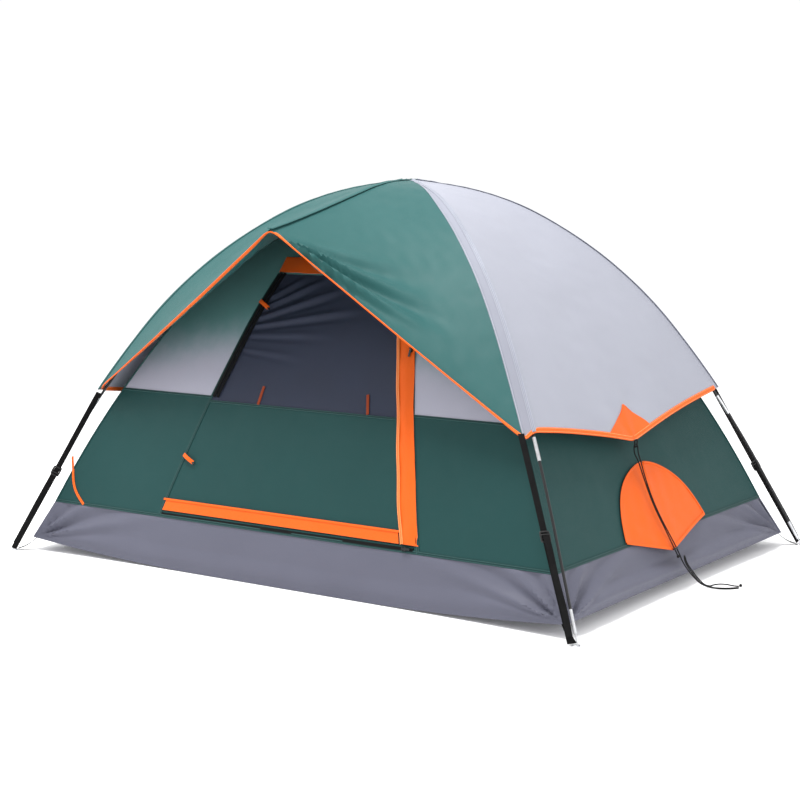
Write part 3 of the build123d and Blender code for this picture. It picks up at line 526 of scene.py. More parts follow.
def make_object(name, vertices, faces, uvs, material):
    mesh = bpy.data.meshes.new(name)
    mesh.from_pydata([tuple(v) for v in vertices], [], faces)
    layer = mesh.uv_layers.new(name="cloth")
    index = np.zeros(len(mesh.loops), np.int32)
    mesh.loops.foreach_get("vertex_index", index)
    layer.data.foreach_set("uv", np.asarray(uvs, np.float32)[index].ravel())
    mesh.materials.append(material)
    shape = bmesh.new()
    shape.from_mesh(mesh)
    bmesh.ops.remove_doubles(shape, verts=shape.verts, dist=1e-6)
    bmesh.ops.dissolve_degenerate(shape, dist=1e-6, edges=shape.edges)
    bmesh.ops.recalc_face_normals(shape, faces=shape.faces)
    shape.to_mesh(mesh)
    shape.free()
    mesh.shade_smooth()
    mesh.set_sharp_from_angle(angle=radians(50))
    obj = bpy.data.objects.new(name, mesh)
    bpy.context.scene.collection.objects.link(obj)
    return obj


def lengths_along(grid, axis):
    steps = np.linalg.norm(np.diff(grid, axis=axis), axis=2)
    start = np.zeros_like(np.take(steps, [0], axis=axis))
    return np.concatenate((start, np.cumsum(steps, axis=axis)), axis=axis)


def cloth(name, grid, material, relief=None, thickness=CLOTH, lift=0.0):
    """A closed thin shell whose outer face is the grid, moved out by the relief and the lift."""
    across, down = lengths_along(grid, 1), lengths_along(grid, 0)
    outer = grid + normals_of(grid) * (lift + (0.0 if relief is None else relief[..., None]))
    normal = normals_of(outer)
    inner = outer - normal * thickness
    rows, cols = grid.shape[:2]
    vertices = np.concatenate((outer.reshape(-1, 3), inner.reshape(-1, 3)))
    uvs = np.stack((across - across[:, -1:] / 2, down), axis=2).reshape(-1, 2)
    number = np.arange(rows * cols).reshape(rows, cols)
    quads = np.stack((number[:-1, :-1], number[:-1, 1:], number[1:, 1:], number[1:, :-1]), 2)
    top = quads.reshape(-1, 4)
    bottom = top[:, ::-1] + rows * cols
    rim = np.concatenate((number[0, :], number[1:, -1], number[-1, -2::-1], number[-2:0:-1, 0]))
    ahead = np.roll(rim, -1)
    sides = np.stack((rim, rim + rows * cols, ahead + rows * cols, ahead), 1)
    faces = np.concatenate((top, bottom, sides)).tolist()
    obj = make_object(name, vertices, faces, np.concatenate((uvs, uvs)), material)
    return obj


def strip_profile(half, thick, steps=6):
    """Closed outline of a flat strip with round edges: offsets to the side and up."""
    turn = np.linspace(-pi / 2, pi / 2, steps)
    reach = half - thick / 2
    right = [(reach + thick / 2 * cos(a), thick / 2 * sin(a)) for a in turn]
    left = [(-reach - thick / 2 * cos(a), -thick / 2 * sin(a)) for a in turn]
    middle_top = [(x, thick / 2) for x in np.linspace(reach, -reach, 5)[1:-1]]
    middle_low = [(x, -thick / 2) for x in np.linspace(-reach, reach, 5)[1:-1]]
    return np.array(right + middle_top + left + middle_low)


def round_profile(radius, steps=10):
    turn = np.arange(steps) * tau / steps
    return np.stack((radius * np.cos(turn), radius * np.sin(turn)), 1)


def crowned_profile(half, thick, crown, steps=9):
    """A strip that stands up in its middle, like a sleeve with something inside."""
    x = np.linspace(-half, half, steps)
    rise = crown * np.cos(x / half * pi / 2) ** 0.8
    top = np.stack((x, rise + thick), 1)
    low = np.stack((x, np.zeros(steps)), 1)[::-1]
    return np.concatenate((top, low))


def sweep(name, line, up, profile, material, closed=False, width=1.0):
    """A closed tube with that profile along a line; up is the fabric's normal along it."""
    width = np.asarray(width, float).reshape(-1, 1, 1)
    line, up = np.asarray(line, float), np.asarray(up, float)
    ahead = np.roll(line, -1, 0) - np.roll(line, 1, 0) if closed else np.gradient(line, axis=0)
    ahead /= np.linalg.norm(ahead, axis=1, keepdims=True)
    side = np.cross(ahead, up)
    side /= np.linalg.norm(side, axis=1, keepdims=True)
    up = np.cross(side, ahead)
    around = len(profile)
    points = (line[:, None] + side[:, None] * profile[None, :, :1] * width
              + up[:, None] * profile[None, :, 1:])
    along = np.concatenate(([0.0], np.cumsum(np.linalg.norm(np.diff(line, axis=0), axis=1))))
    uvs = np.stack(np.broadcast_arrays(profile[None, :, 0], along[:, None]), 2).reshape(-1, 2)
    count = len(line)
    faces = []
    for i in range(count if closed else count - 1):
        j = (i + 1) % count
        for k in range(around):
            m = (k + 1) % around
            faces.append((i * around + k, j * around + k, j * around + m, i * around + m))
    if not closed:
        faces.append(tuple(range(around - 1, -1, -1)))
        faces.append(tuple((count - 1) * around + k for k in range(around)))
    return make_object(name, points.reshape(-1, 3), faces, uvs, material)


def settle(obj, body, slot, *nodes):
    """The piece rides with its body, or is handed to the body when that is a function, and hides the CAD
    nodes it stands for; the slot argument is not used.
    """
    if callable(body):
        body(obj)
    else:
        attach(obj, body)
    if nodes:
        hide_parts(*nodes)
    return obj


def strip(name, line, up, half, thick, key, body, slot, *nodes, closed=False):
    """A flat strip of webbing or sewn tape along a line."""
    obj = sweep(name, line, up + 0 * line, strip_profile(half, thick), M[key], closed)
    return settle(obj, body, slot, *nodes)


# ---------------------------------------------------------------- walls of the inner tent
FRONT = (np.array((0, -1, 0)), np.array((1, 0, 0)), CY, CX)
BACK = (np.array((0, 1, 0)), np.array((-1, 0, 0)), CY, CX)
LEFT = (np.array((-1, 0, 0)), np.array((0, -1, 0)), CX, CY)
RIGHT = (np.array((1, 0, 0)), np.array((0, 1, 0)), CX, CY)
WALLS = {"front": FRONT, "back": BACK, "left": LEFT, "right": RIGHT}
WALL_SAG = {"front": 0.0, "back": 0.010, "left": 0.012, "right": 0.009}


def wall_name(wall):
    return next(name for name, value in WALLS.items() if value is wall)


def wall_half(height):
    s, _, _ = pole_curve(distance_at_height(height, -INNER_GAP), -INNER_GAP)
    return s


def wall_point(wall, height, across, lift=0.0):
    """Points of a wall and its normals, at heights and at distances along it."""
    out, along, share, other = wall
    height, across = np.broadcast_arrays(np.asarray(height, float), np.asarray(across, float))
    s, z, slope = pole_curve(distance_at_height(height, -INNER_GAP), -INNER_GAP)
    normal = out * np.sin(slope)[..., None] + np.array((0, 0, share)) * np.cos(slope)[..., None]
    normal /= np.linalg.norm(normal, axis=-1, keepdims=True)
    base = out * (s * share)[..., None] + along * across[..., None]
    base = base + np.array((0, 0, 1.0)) * z[..., None]
    reach = np.clip(np.abs(across) / np.maximum(s * other, 1e-6), 0, 1)
    belly = np.cos(reach * pi / 2) * np.sin(np.clip((height - 0.17) / 1.0, 0, 1) * pi) ** 0.6
    sag = WALL_SAG[wall_name(wall)] * belly
    rough = 0.0011 * ripple(base, 0.22, 3) * np.cos(reach * pi / 2)
    return base + normal * (lift - sag + rough)[..., None], normal


def wall_grid(wall, low, high, left, right, rows, cols):
    """Grid of a wall from height high down to low; left and right give its edges at a height."""
    height = np.linspace(high, low, rows)[:, None]
    t = np.linspace(0, 1, cols)[None, :]
    edge_left = np.broadcast_to(left(height), height.shape)
    edge_right = np.broadcast_to(right(height), height.shape)
    return wall_point(wall, height + 0 * t, edge_left + (edge_right - edge_left) * t)[0]


def door_half(height):
    share = (np.asarray(height, float) - DOOR_BOTTOM) / (DOOR_TOP - DOOR_BOTTOM)
    return DOOR_HALF_BOTTOM + (DOOR_HALF_TOP - DOOR_HALF_BOTTOM) * share


def wall_edge(wall, sign):
    return lambda height: sign * wall_half(height) * wall[3]


def wall_piece(name, wall, low, high, left, right, key, nodes, rows, cols):
    obj = cloth(name, wall_grid(wall, low, high, left, right, rows, cols), M[key])
    return settle(obj, "tent", key, *nodes)


def make_walls():
    """Lower green band and upper grey wall on each side; the front is cut round the door."""
    for side in ("back", "left", "right"):
        wall = WALLS[side]
        wall_piece(f"{side}_wall_green", wall, TUB_TOP, BAND_TOP, wall_edge(wall, -1), wall_edge(wall, 1),
                   "wall_green", (f"{side}_wall_lower",), 34, 90)
        if side != "back":
            wall_piece(f"{side}_wall_grey", wall, BAND_TOP, WALL_TOP, wall_edge(wall, -1),
                       wall_edge(wall, 1), "wall_grey", (f"{side}_wall_upper",), 44, 80)
    for side, sign in (("left", -1), ("right", 1)):
        def door_edge(height, sign=sign):
            return sign * door_half(height)
        corner = wall_edge(FRONT, sign)
        edges = (corner, door_edge) if sign < 0 else (door_edge, corner)
        wall_piece(f"front_{side}_green", FRONT, TUB_TOP, BAND_TOP, *edges, "wall_green",
                   (f"front_wall_{side}_lower",), 34, 44)
        grey = wall_piece(f"front_{side}_grey", FRONT, BAND_TOP, DOOR_TOP, *edges, "wall_grey",
                          (f"front_wall_{side}_upper",), 34, 44)
        # the front's upper walls carry the painted green shade of the fly
        grey.data.materials[0] = M["wall_painted_shade"]
    top = wall_piece("front_top_grey", FRONT, DOOR_TOP, WALL_TOP, wall_edge(FRONT, -1),
                     wall_edge(FRONT, 1), "wall_grey", ("front_wall_top",), 20, 60)
    # the wall above the door carries the same painted green shade
    top.data.materials[0] = M["wall_painted_shade"]
    sill_half = float(door_half(DOOR_BOTTOM))
    wall_piece("door_sill_green", FRONT, TUB_TOP, DOOR_BOTTOM - 0.0015, lambda h: -sill_half,
               lambda h: sill_half, "wall_green", ("door_sill",), 5, 70)


def window_half(height):
    share = (np.asarray(height, float) - WINDOW_LOW) / (WINDOW_HIGH - WINDOW_LOW)
    return WINDOW_HALF_LOW + (WINDOW_HALF_HIGH - WINDOW_HALF_LOW) * share


def make_back_upper():
    """Upper back wall: four sheets round a mesh window, sewn on the same surface."""
    left, right = wall_edge(BACK, -1), wall_edge(BACK, 1)
    rest = {
        "back_grey_under_window": (BAND_TOP, WINDOW_LOW, left, right, 10, 90),
        "back_grey_over_window": (WINDOW_HIGH, WALL_TOP, left, right, 18, 70),
        "back_grey_beside_window_a": (WINDOW_LOW, WINDOW_HIGH, left, lambda h: -window_half(h), 24, 30),
        "back_grey_beside_window_b": (WINDOW_LOW, WINDOW_HIGH, window_half, right, 24, 30),
    }
    for name, (low, high, start, end, rows, cols) in rest.items():
        nodes = ("back_wall_upper",) if name == "back_grey_under_window" else ()
        wall_piece(name, BACK, low, high, start, end, "wall_grey", nodes, rows, cols)
    wall_piece("rear_window_net", BACK, WINDOW_LOW, WINDOW_HIGH, lambda h: -window_half(h), window_half,
               "window_mesh", ("rear_window_mesh",), 24, 44)
    frame_line, frame_up = [], []
    corners = ((-WINDOW_HALF_LOW, WINDOW_LOW), (WINDOW_HALF_LOW, WINDOW_LOW),
               (WINDOW_HALF_HIGH, WINDOW_HIGH), (-WINDOW_HALF_HIGH, WINDOW_HIGH))
    for (x0, z0), (x1, z1) in zip(corners, corners[1:] + corners[:1]):
        t = np.linspace(0.0, 1.0, 24, endpoint=False)
        points, up = wall_point(BACK, z0 + (z1 - z0) * t, x0 + (x1 - x0) * t, 0.0012)
        frame_line.append(points)
        frame_up.append(up)
    strip("rear_window_binding", np.concatenate(frame_line), np.concatenate(frame_up), 0.008, 0.0018,
          "binding", "tent", "orange_trim", closed=True)


# ---------------------------------------------------------------- bathtub floor
def tub_foot(wall, u):
    """The floor's edge along a wall, u from -1 to 1; it lifts at its corners and along both sides."""
    out, along, share, other = wall
    at_door = share == CY
    rise = np.clip((np.abs(u) - 0.3) / 0.7, 0, 1) ** 2 if at_door else np.abs(u) ** 2
    middle = FLOOR_Y_MIDDLE if at_door else FLOOR_X_MIDDLE
    low = 0.002 if at_door else SIDE_EDGE_Z
    reach = middle + (FLOOR_CORNER * share - middle) * rise
    place = out * reach[..., None] + along * (u * FLOOR_CORNER * other)[..., None]
    return place + np.array((0, 0, 1.0)) * (low + (FLOOR_CORNER_Z - low) * rise)[..., None]


def tub_grid(wall, rows=26, cols=150):
    u = np.linspace(-1, 1, cols)[None, :] + np.zeros((rows, 1))
    v = np.linspace(0, 1, rows)[:, None] + np.zeros((1, cols))
    top = wall_point(wall, TUB_TOP, u * wall_half(TUB_TOP) * wall[3])[0]
    foot = tub_foot(wall, u)
    return top * (1 - v)[..., None] + foot * v[..., None], u, v


def corner_folds(points, corner, inward, seed):
    """Folds that fan out of a pulled floor corner over the wall above it."""
    rng = np.random.default_rng(seed)
    away = points - corner
    reach = np.linalg.norm(away, axis=-1)
    angle = np.degrees(np.arctan2(away[..., 2], np.abs(away @ inward)))
    total = np.zeros(reach.shape)
    for middle, width, height, length in ((4, 3, .5, .30), (13, 3, 1.0, .42), (21, 3.5, -.8, .34),
                                          (31, 3.5, .9, .26), (42, 4, -.7, .22), (56, 5, .6, .17),
                                          (70, 4, -.6, .15), (80, 4, 1.0, .16)):
        middle += rng.uniform(-1.5, 1.5)
        total += height * np.exp(-((angle - middle) / width) ** 2) * np.exp(-(reach / length) ** 2)
    return total * smooth(reach, 0.0, 0.10)


def make_tub():
    for index, (side, wall) in enumerate(WALLS.items()):
        grid, u, v = tub_grid(wall)
        along = wall[1]
        relief = 0.0015 * ripple(grid, 0.25, 20 + index) * np.sin(v * pi)
        for sign in (-1, 1):
            corner = tub_foot(wall, np.array([float(sign)]))[0]
            relief = relief + 0.0150 * corner_folds(grid, corner, along, 31 + index + 7 * sign)
        sideways = wall[2] == CX
        roll = smooth(v, 0.50, 0.80) * (1 - smooth(v, 0.80, 0.98)) * (1 - smooth(np.abs(u), 0.70, 1.0))
        relief = relief + (0.018 if sideways else 0.006) * roll + 0.004 * np.sin(v * pi) * (1 - np.abs(u))
        relief = relief * smooth(v, 0.0, 0.06) * (1 - smooth(v, 0.97, 1.0))
        nodes = ("tub_walls",) if side == "front" else ()
        obj = cloth(f"tub_{side}_wall", grid, M["tub_grey"], relief, 0.0012)
        settle(obj, "tent", "tub_grey", *nodes)


def make_floor_sheet():
    """Groundsheet: its border is the walls' feet, and it sinks to the ground inside them."""
    cols, rows = 80, 60
    u = np.linspace(-1, 1, cols)
    w = np.linspace(-1, 1, rows)
    front, back = tub_foot(FRONT, u), tub_foot(BACK, -u)
    left, right = tub_foot(LEFT, -w), tub_foot(RIGHT, w)
    p, q = (u[None, :] + 1)[..., None] / 2, (w[:, None] + 1)[..., None] / 2
    grid = front[None] * (1 - q) + back[None] * q + left[:, None] * (1 - p) + right[:, None] * p
    grid = grid - (front[0] * (1 - p) * (1 - q) + front[-1] * p * (1 - q)
                   + back[0] * (1 - p) * q + back[-1] * p * q)
    grid[..., 2] = np.maximum(grid[..., 2], 0.001)
    obj = cloth("groundsheet_sheet", grid, M["tub_grey"], thickness=0.0009)
    settle(obj, "tent", "tub_grey", "groundsheet")


# ---------------------------------------------------------------- seams
def wall_seam(name, wall, heights, across, half, key, slot, lift=0.0012, thick=0.0016, body="tent"):
    line, up = wall_point(wall, heights, across, lift)
    strip(name, line, up, half, thick, key, body, slot)


def make_level_seams():
    """Seams at the tub's top and the green band's top, and beside the door."""
    for side, wall in WALLS.items():
        u = np.linspace(-1, 1, 90)
        half = wall_half(TUB_TOP) * wall[3]
        wall_seam(f"{side}_tub_seam", wall, TUB_TOP + 0.003 + 0 * u, u * half, 0.0055, "seam_green",
                  "wall_green")
        half = wall_half(BAND_TOP) * wall[3]
        if side != "front":
            wall_seam(f"{side}_band_seam", wall, BAND_TOP + 0 * u, u * half, 0.004, "seam_green",
                      "wall_green")
    for sign, side in ((-1, "left"), (1, "right")):
        start, end = float(door_half(BAND_TOP)), float(wall_half(BAND_TOP) * CX)
        across = sign * np.linspace(start, end, 40)
        wall_seam(f"front_{side}_band_seam", FRONT, BAND_TOP + 0 * across, across, 0.004, "seam_green",
                  "wall_green")
        height = np.linspace(TUB_TOP, DOOR_TOP, 60)
        offset = 0.004 if sign < 0 else 0.014
        across = sign * (door_half(height) + offset)
        wall_seam(f"door_{side}_seam", FRONT, height, across, 0.0048, "seam_green", "wall_green")


def make_corner_piping():
    for name, (sx, sy) in CORNERS.items():
        height = np.linspace(TUB_TOP, WALL_TOP, 70)
        s = wall_half(height)
        line = np.stack((sx * s * CX, sy * s * CY, height), 1)
        up = np.array((sx * CX, sy * CY, 0.45)) + 0 * line
        # above the band the piping is drawn in the dark seam green: painted shade in the crease between the
        # walls
        for part, keep, key in (("green", height <= BAND_TOP + .006, "wall_green"),
                                ("grey", height >= BAND_TOP, "seam_green")):
            obj = sweep(f"{name}_corner_piping_{part}", line[keep], up[keep], round_profile(0.0032),
                        M[key])
            settle(obj, "tent", "wall_green")
        t = np.linspace(0, 1, 20)[:, None]
        foot = np.array((sx * FLOOR_CORNER * CX, sy * FLOOR_CORNER * CY, FLOOR_CORNER_Z + 0.001))
        line = line[0] * (1 - t) + foot * t
        obj = sweep(f"{name}_tub_piping", line, up[:20], round_profile(0.0026), M["seam_tub"])
        settle(obj, "tent", "tub_grey")


def make_left_corner_piping():
    """Orange piping that closes off the lower front left corner."""
    t = np.linspace(0, 1, 30)
    across = -0.951 + 0.010 * t + 0.087 * t ** 2 + 0.006 * np.sin(t * tau)
    wall_seam("front_left_orange_piping", FRONT, 0.322 - 0.150 * t, across, 0.0048, "binding",
              "orange_trim", 0.0016, 0.0028)


# ---------------------------------------------------------------- door
def seam_blend(obj):
    """Hands the sheet to hinge_blend with the ends of the door's left seam."""
    low = np.array((-DOOR_HALF_BOTTOM, 0, DOOR_BOTTOM))
    high = np.array((-DOOR_HALF_TOP, 0, DOOR_TOP))
    hinge_blend(obj, low, high)


def fold_blend(obj):
    low = np.array((FOLD_SHARE * DOOR_HALF_BOTTOM, 0, DOOR_BOTTOM))
    high = np.array((FOLD_SHARE * DOOR_HALF_TOP, 0, DOOR_TOP))
    hinge_blend(obj, low, high)


def hinge_blend(obj, low, high):
    """Works out a line on the front wall and the direction across it, and bakes the object's transform into
    its mesh.
    """
    low = wall_point(FRONT, low[2], low[0])[0]
    high, normal = wall_point(FRONT, high[2], high[0])
    line = (high - low) / np.linalg.norm(high - low)
    across = np.cross(normal, line)
    across /= np.linalg.norm(across)
    if across[0] < 0:
        across = -across
    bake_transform(obj)


WINDOW_PLEATS = ((0.862, 31, .20, .9), (0.836, 25, .31, 1.0), (0.806, 19, .42, 1.0), (0.786, 10, .50, .9),
                 (0.762, 3, .38, .5), (0.720, -3, .30, .35))


def window_pleats(height, across, strength):
    """Pleats that start one above another on the left seam and run up over the netting."""
    total = np.zeros(np.broadcast(height, across).shape)
    for start_z, degrees_up, length, tall in WINDOW_PLEATS:
        x, z = across + float(door_half(start_z)), height - start_z
        lean = radians(degrees_up)
        along = x * cos(lean) + z * sin(lean)
        aside = z * cos(lean) - x * sin(lean)
        width = 0.0055 + 0.008 * np.clip(along / length, 0, 1)
        ridge = np.exp(-(aside / width) ** 2) - 0.7 * np.exp(-((aside + 1.7 * width) / width) ** 2)
        total += tall * ridge * smooth(along, 0.0, 0.05) * (1 - smooth(along, 0.55 * length, length))
    return strength * total


def door_pair(name, low, high, key, nodes, right_edge=door_half, lift=0.0, thickness=CLOTH,
              pleats=0.0, rows=36, material=None):
    """Two sheets side by side, split at SPLIT_SHARE: the left one goes to seam_blend, the right one to
    fold_blend.
    """
    spans = ((lambda h: -door_half(h), lambda h: SPLIT_SHARE * door_half(h), 34, seam_blend),
             (lambda h: SPLIT_SHARE * door_half(h), right_edge, 80, fold_blend))
    for (left, right, cols, bend), side, replaced in zip(spans, ("left", "right"), nodes):
        grid = wall_grid(FRONT, low, high, left, right, rows, cols)
        height = np.linspace(high, low, rows)[:, None] + np.zeros((1, cols))
        t = np.linspace(0, 1, cols)[None, :]
        across = left(height) + (right(height) - left(height)) * t
        relief = window_pleats(height, across, pleats) if pleats else None
        obj = cloth(f"{name}_{side}", grid, material or M[key], relief, thickness, lift)
        settle(obj, bend, key, replaced)


def flap_wave(height):
    """How far the side flap's inner edge wanders from a straight line."""
    return 0.0022 * np.sin(height * 13.0 + 0.9) + 0.0012 * np.sin(height * 37.0)


def make_door_panels():
    door_pair("door_green", DOOR_BOTTOM, DOOR_BAND, "wall_green", ("door_left_lower", "door_right_lower"))
    door_pair("door_net", DOOR_BAND, DOOR_TOP, "window_mesh", ("door_left_window", "door_right_window"),
              pleats=0.0060, rows=120)
    door_pair("door_bottom_flap", DOOR_LOW_EDGE, DOOR_BOTTOM + BOTTOM_BAND, "orange_trim",
              ("door_bottom_band_left", "door_bottom_band_right"),
              right_edge=lambda h: door_half(h) - SIDE_BAND - SEAM_GAP, lift=0.0028, thickness=BAND,
              rows=8, material=M["orange"])


def make_side_flap():
    """Orange storm flap over the curved side zip, with a lighter piping along its inner edge."""
    heights = np.linspace(DOOR_LOW_EDGE, DOOR_TOP - SEAM_GAP, 110)
    height = heights[::-1, None]
    t = np.linspace(0, 1, 15)[None, :]
    left = door_half(height) - FLAP_IN + flap_wave(height)
    right = door_half(height) + FLAP_OUT + 0.0014 * np.sin(height * 19.0)
    grid = wall_point(FRONT, height + 0 * t, left + (right - left) * t)[0]
    roll = 0.0030 * np.exp(-((t - 0.10) / 0.09) ** 2) + 0.0035 * np.sin(t * pi) ** 2
    relief = roll + 0.0016 * ripple(grid, 0.10, 51)
    obj = cloth("door_side_flap", grid, M["orange"], relief, BAND, 0.0032)
    settle(obj, "door_right", "orange_trim", "door_side_band")
    inner_edge = door_half(heights) - FLAP_IN + 0.0055 + flap_wave(heights)
    wall_seam("door_flap_edge_piping", FRONT, heights, inner_edge, 0.0056, "edge_light", "orange_trim",
              0.0066, 0.0026, "door_right")


def make_door_tapes():
    """Seams across the door and the zip tapes beside its left seam."""
    band_half = float(door_half(DOOR_BAND))
    across = np.linspace(SPLIT_SHARE, 1.0, 60) * band_half
    keep = across < band_half - FLAP_IN
    for part, points, bend in (("right", across[keep], fold_blend),
                               ("left", np.linspace(-1.0, SPLIT_SHARE, 24) * band_half, seam_blend)):
        line, up = wall_point(FRONT, DOOR_BAND + 0 * points, points, 0.0016)
        strip(f"door_band_seam_{part}", line, up, 0.0042, 0.0022, "seam_green", bend, "wall_green")
        line, up = wall_point(FRONT, DOOR_BOTTOM + BOTTOM_BAND + 0 * points,
                              points * float(door_half(DOOR_BOTTOM)) / band_half, 0.0042)
        strip(f"door_bottom_band_edge_{part}", line, up, 0.0036, 0.0022, "binding", bend, "orange_trim")
    heights = np.linspace(BAND_TOP, DOOR_TOP, 60)
    for name, offset, half in (("wide", 0.0080, 0.0066), ("narrow", 0.0235, 0.0050)):
        line, up = wall_point(FRONT, heights, -door_half(heights) + offset, 0.0050)
        strip(f"door_left_zip_tape_{name}", line, up, half, 0.0024, "zip_black", seam_blend, "zip_black")


def make_top_band():
    grid = wall_grid(FRONT, DOOR_TOP + 0.004, DOOR_TOP + TOP_BAND + 0.014,
                     lambda h: -door_half(DOOR_TOP) - 0.004,
                     lambda h: float(door_half(DOOR_TOP)) + 0.004 + 0 * h, 11, 60)
    relief = 0.0016 * ripple(grid, 0.12, 61)
    obj = cloth("door_top_band_cloth", grid, M["orange"], relief, BAND, 0.0036)
    settle(obj, "tent", "orange_trim", "door_top_band")


def make_toggles():
    """Two orange loops with black toggles on the left seam, which hold a rolled-up door."""
    for index, height in enumerate(TOGGLE_HEIGHTS):
        t = np.linspace(0, 1, 12)
        across = -float(door_half(height)) - 0.004 + 0.046 * t
        line, up = wall_point(FRONT, height - 0.022 * t, across, 0.0076 + 0.004 * np.sin(t * pi))
        nodes = ("door_toggle_tabs",) if index == 0 else ()
        strip(f"door_toggle_loop_{index + 1}", line, up, 0.0066, 0.0018, "orange", "tent", "orange_trim",
              *nodes)
        end, normal = wall_point(FRONT, height - 0.024, -float(door_half(height)) + 0.044, 0.0090)
        button = np.array([end + np.array((dx, 0, -dx * 0.6)) for dx in np.linspace(-0.004, 0.004, 7)])
        obj = sweep(f"door_toggle_{index + 1}", button, normal + 0 * button, round_profile(0.0028, 12),
                    M["plastic"])
        settle(obj, "tent", "black_plastic")


def make_net_ties():
    """Two short upright tapes at the foot of the door's netting."""
    for index, (x, z, lean) in enumerate(NET_TIES):
        t = np.linspace(0, 1, 12)
        line, up = wall_point(FRONT, z + 0.058 - 0.058 * t, x + lean * (1 - t) * 1.6, 0.0024)
        # the ties are drawn in a darker orange: painted shade of the netting over them
        strip(f"door_net_tie_{index + 1}", line, up, 0.0052, 0.0014, "orange_painted_shade",
              "door_left" if x < 0 else "door_right", "orange_trim")


def make_door():
    make_door_panels()
    make_side_flap()
    make_door_tapes()
    make_top_band()
    make_toggles()
    make_net_ties()


# ---------------------------------------------------------------- vent hood
def make_vent_hood():
    slope = float(pole_curve(distance_at_height(0.27, -INNER_GAP), -INNER_GAP)[2])
    climb = sin(slope) / (sin(slope) ** 2 + (CX * cos(slope)) ** 2) ** 0.5
    arch = np.array(((-.276, .012), (-.215, .145), (-.035, .232), (.070, .228), (.215, .140), (.274, .014)))
    top_y, top_up = 0.010, 0.234
    t = np.linspace(0, 1, 44)

    def half(points):
        key = np.linspace(0, 1, len(points))
        y = np.interp(t, key, [p[0] for p in points])
        up = np.interp(t, key, [p[1] for p in points])
        for _ in range(40):
            y[1:-1] = (y[:-2] + 2 * y[1:-1] + y[2:]) / 4
            up[1:-1] = (up[:-2] + 2 * up[1:-1] + up[2:]) / 4
        return y, up

    crease_y = top_y + (-0.058 - top_y) * t
    crease_up = top_up + (-0.052 - top_up) * t
    crease_lift = 0.006 + 0.010 * t ** 2.5
    pieces = []
    left_y, left_up = half([(top_y, top_up), arch[2], (-.140, .204), arch[1], (-.260, .07), arch[0]])
    right_y, right_up = half([(top_y, top_up), arch[3], (.148, .192), arch[4], (.258, .07), arch[5]])
    for side_y, side_up in ((left_y, left_up), (right_y, right_up)):
        w = np.linspace(0, 1, 34)[None, :]
        y = crease_y[:, None] * (1 - w) + side_y[:, None] * w
        up = crease_up[:, None] * (1 - w) + side_up[:, None] * w
        lift = crease_lift[:, None] * (1 - w) ** 1.4 + 0.0045
        height = TUB_TOP + up * climb
        wall, normal = wall_point(RIGHT, np.maximum(height, TUB_TOP), y, 0.0)
        below = np.minimum(height - TUB_TOP, 0.0)
        lean = wall + np.array((0, 0, 1.0)) * below[..., None]
        lean = lean + np.array((1.0, 0, 0)) * (-below * 0.62)[..., None]
        pieces.append(lean + normal * lift[..., None])
    grid = np.concatenate((pieces[0][:, ::-1], pieces[1][:, 1:]), axis=1)
    grid = grid[1:]
    relief = 0.0012 * ripple(grid, 0.09, 71)
    obj = cloth("vent_hood_cloth", grid, M["orange"], relief, 0.0011)
    settle(obj, "tent", "orange_trim", "vent_hood")
    normal = normals_of(grid)
    edge = np.concatenate((grid[::-1, 0], grid[0, 1:-1], grid[:, -1]))
    up = np.concatenate((normal[::-1, 0], normal[0, 1:-1], normal[:, -1]))
    strip("vent_hood_arch_seam", edge + up * 0.001, up, 0.0036, 0.0020, "binding", "tent", "orange_trim")
    strip("vent_hood_lip_binding", grid[-1] + normal[-1] * 0.001, normal[-1], 0.0046, 0.0026, "binding",
          "tent", "orange_trim")


# ---------------------------------------------------------------- rain fly
FLY_CORNER_DISTANCE = float(distance_at_height(FLY_CORNER, FLY_SKIN))
POLE_LINE_TOP = float(pole_curve(0.0, FLY_SKIN)[1])
CROWN_TOP = RIDGE_POLE_Z + RIDGE_SKIN


def fly_pole_line(distance, sx, sy):
    """The fly's surface over a pole; near the crown it rises to the ridge."""
    s, z, _ = pole_curve(distance, FLY_SKIN)
    z = z + (CROWN_TOP - POLE_LINE_TOP) * np.exp(-(np.asarray(distance) / 0.09) ** 2)
    return np.stack((sx * s * CX, sy * s * CY, z), -1)


def front_half(sign, taped, share, cols):
    """Half of the front panel, from the ridge to the pole line on side sign: rows by share."""
    pole = fly_pole_line(share * FLY_CORNER_DISTANCE, sign, -1)
    ridge_y, ridge_z = ridge_point(share * RIDGE_HALF)
    ridge_z = ridge_z + PEAK_RISE * share ** 5
    ridge = np.stack((0 * ridge_y, -ridge_y, ridge_z), -1)
    t = np.linspace(0, 1, cols)[None, :, None]
    if not taped:
        return ridge[:, None] * (1 - t) + pole[:, None] * t, None
    run = ridge - pole
    span = np.maximum(np.linalg.norm(run, axis=1, keepdims=True), 1e-6)
    width = np.minimum(TAPE_WIDTH * smooth(share[:, None], -0.05, 0.35), 0.4 * span)
    down = np.array((sign * 0.39, -0.285, -0.875))
    turn = pole + run / span * width + down * TAPE_DROP * smooth(share[:, None], 0.55, 1.0)
    on_tape = 9
    t1 = np.linspace(0, 1, cols - on_tape)[None, :, None]
    t2 = np.linspace(0, 1, on_tape + 1)[None, 1:, None]
    panel = ridge[:, None] * (1 - t1) + turn[:, None] * t1
    tape = turn[:, None] * (1 - t2) + pole[:, None] * t2
    return np.concatenate((panel, tape), axis=1), on_tape


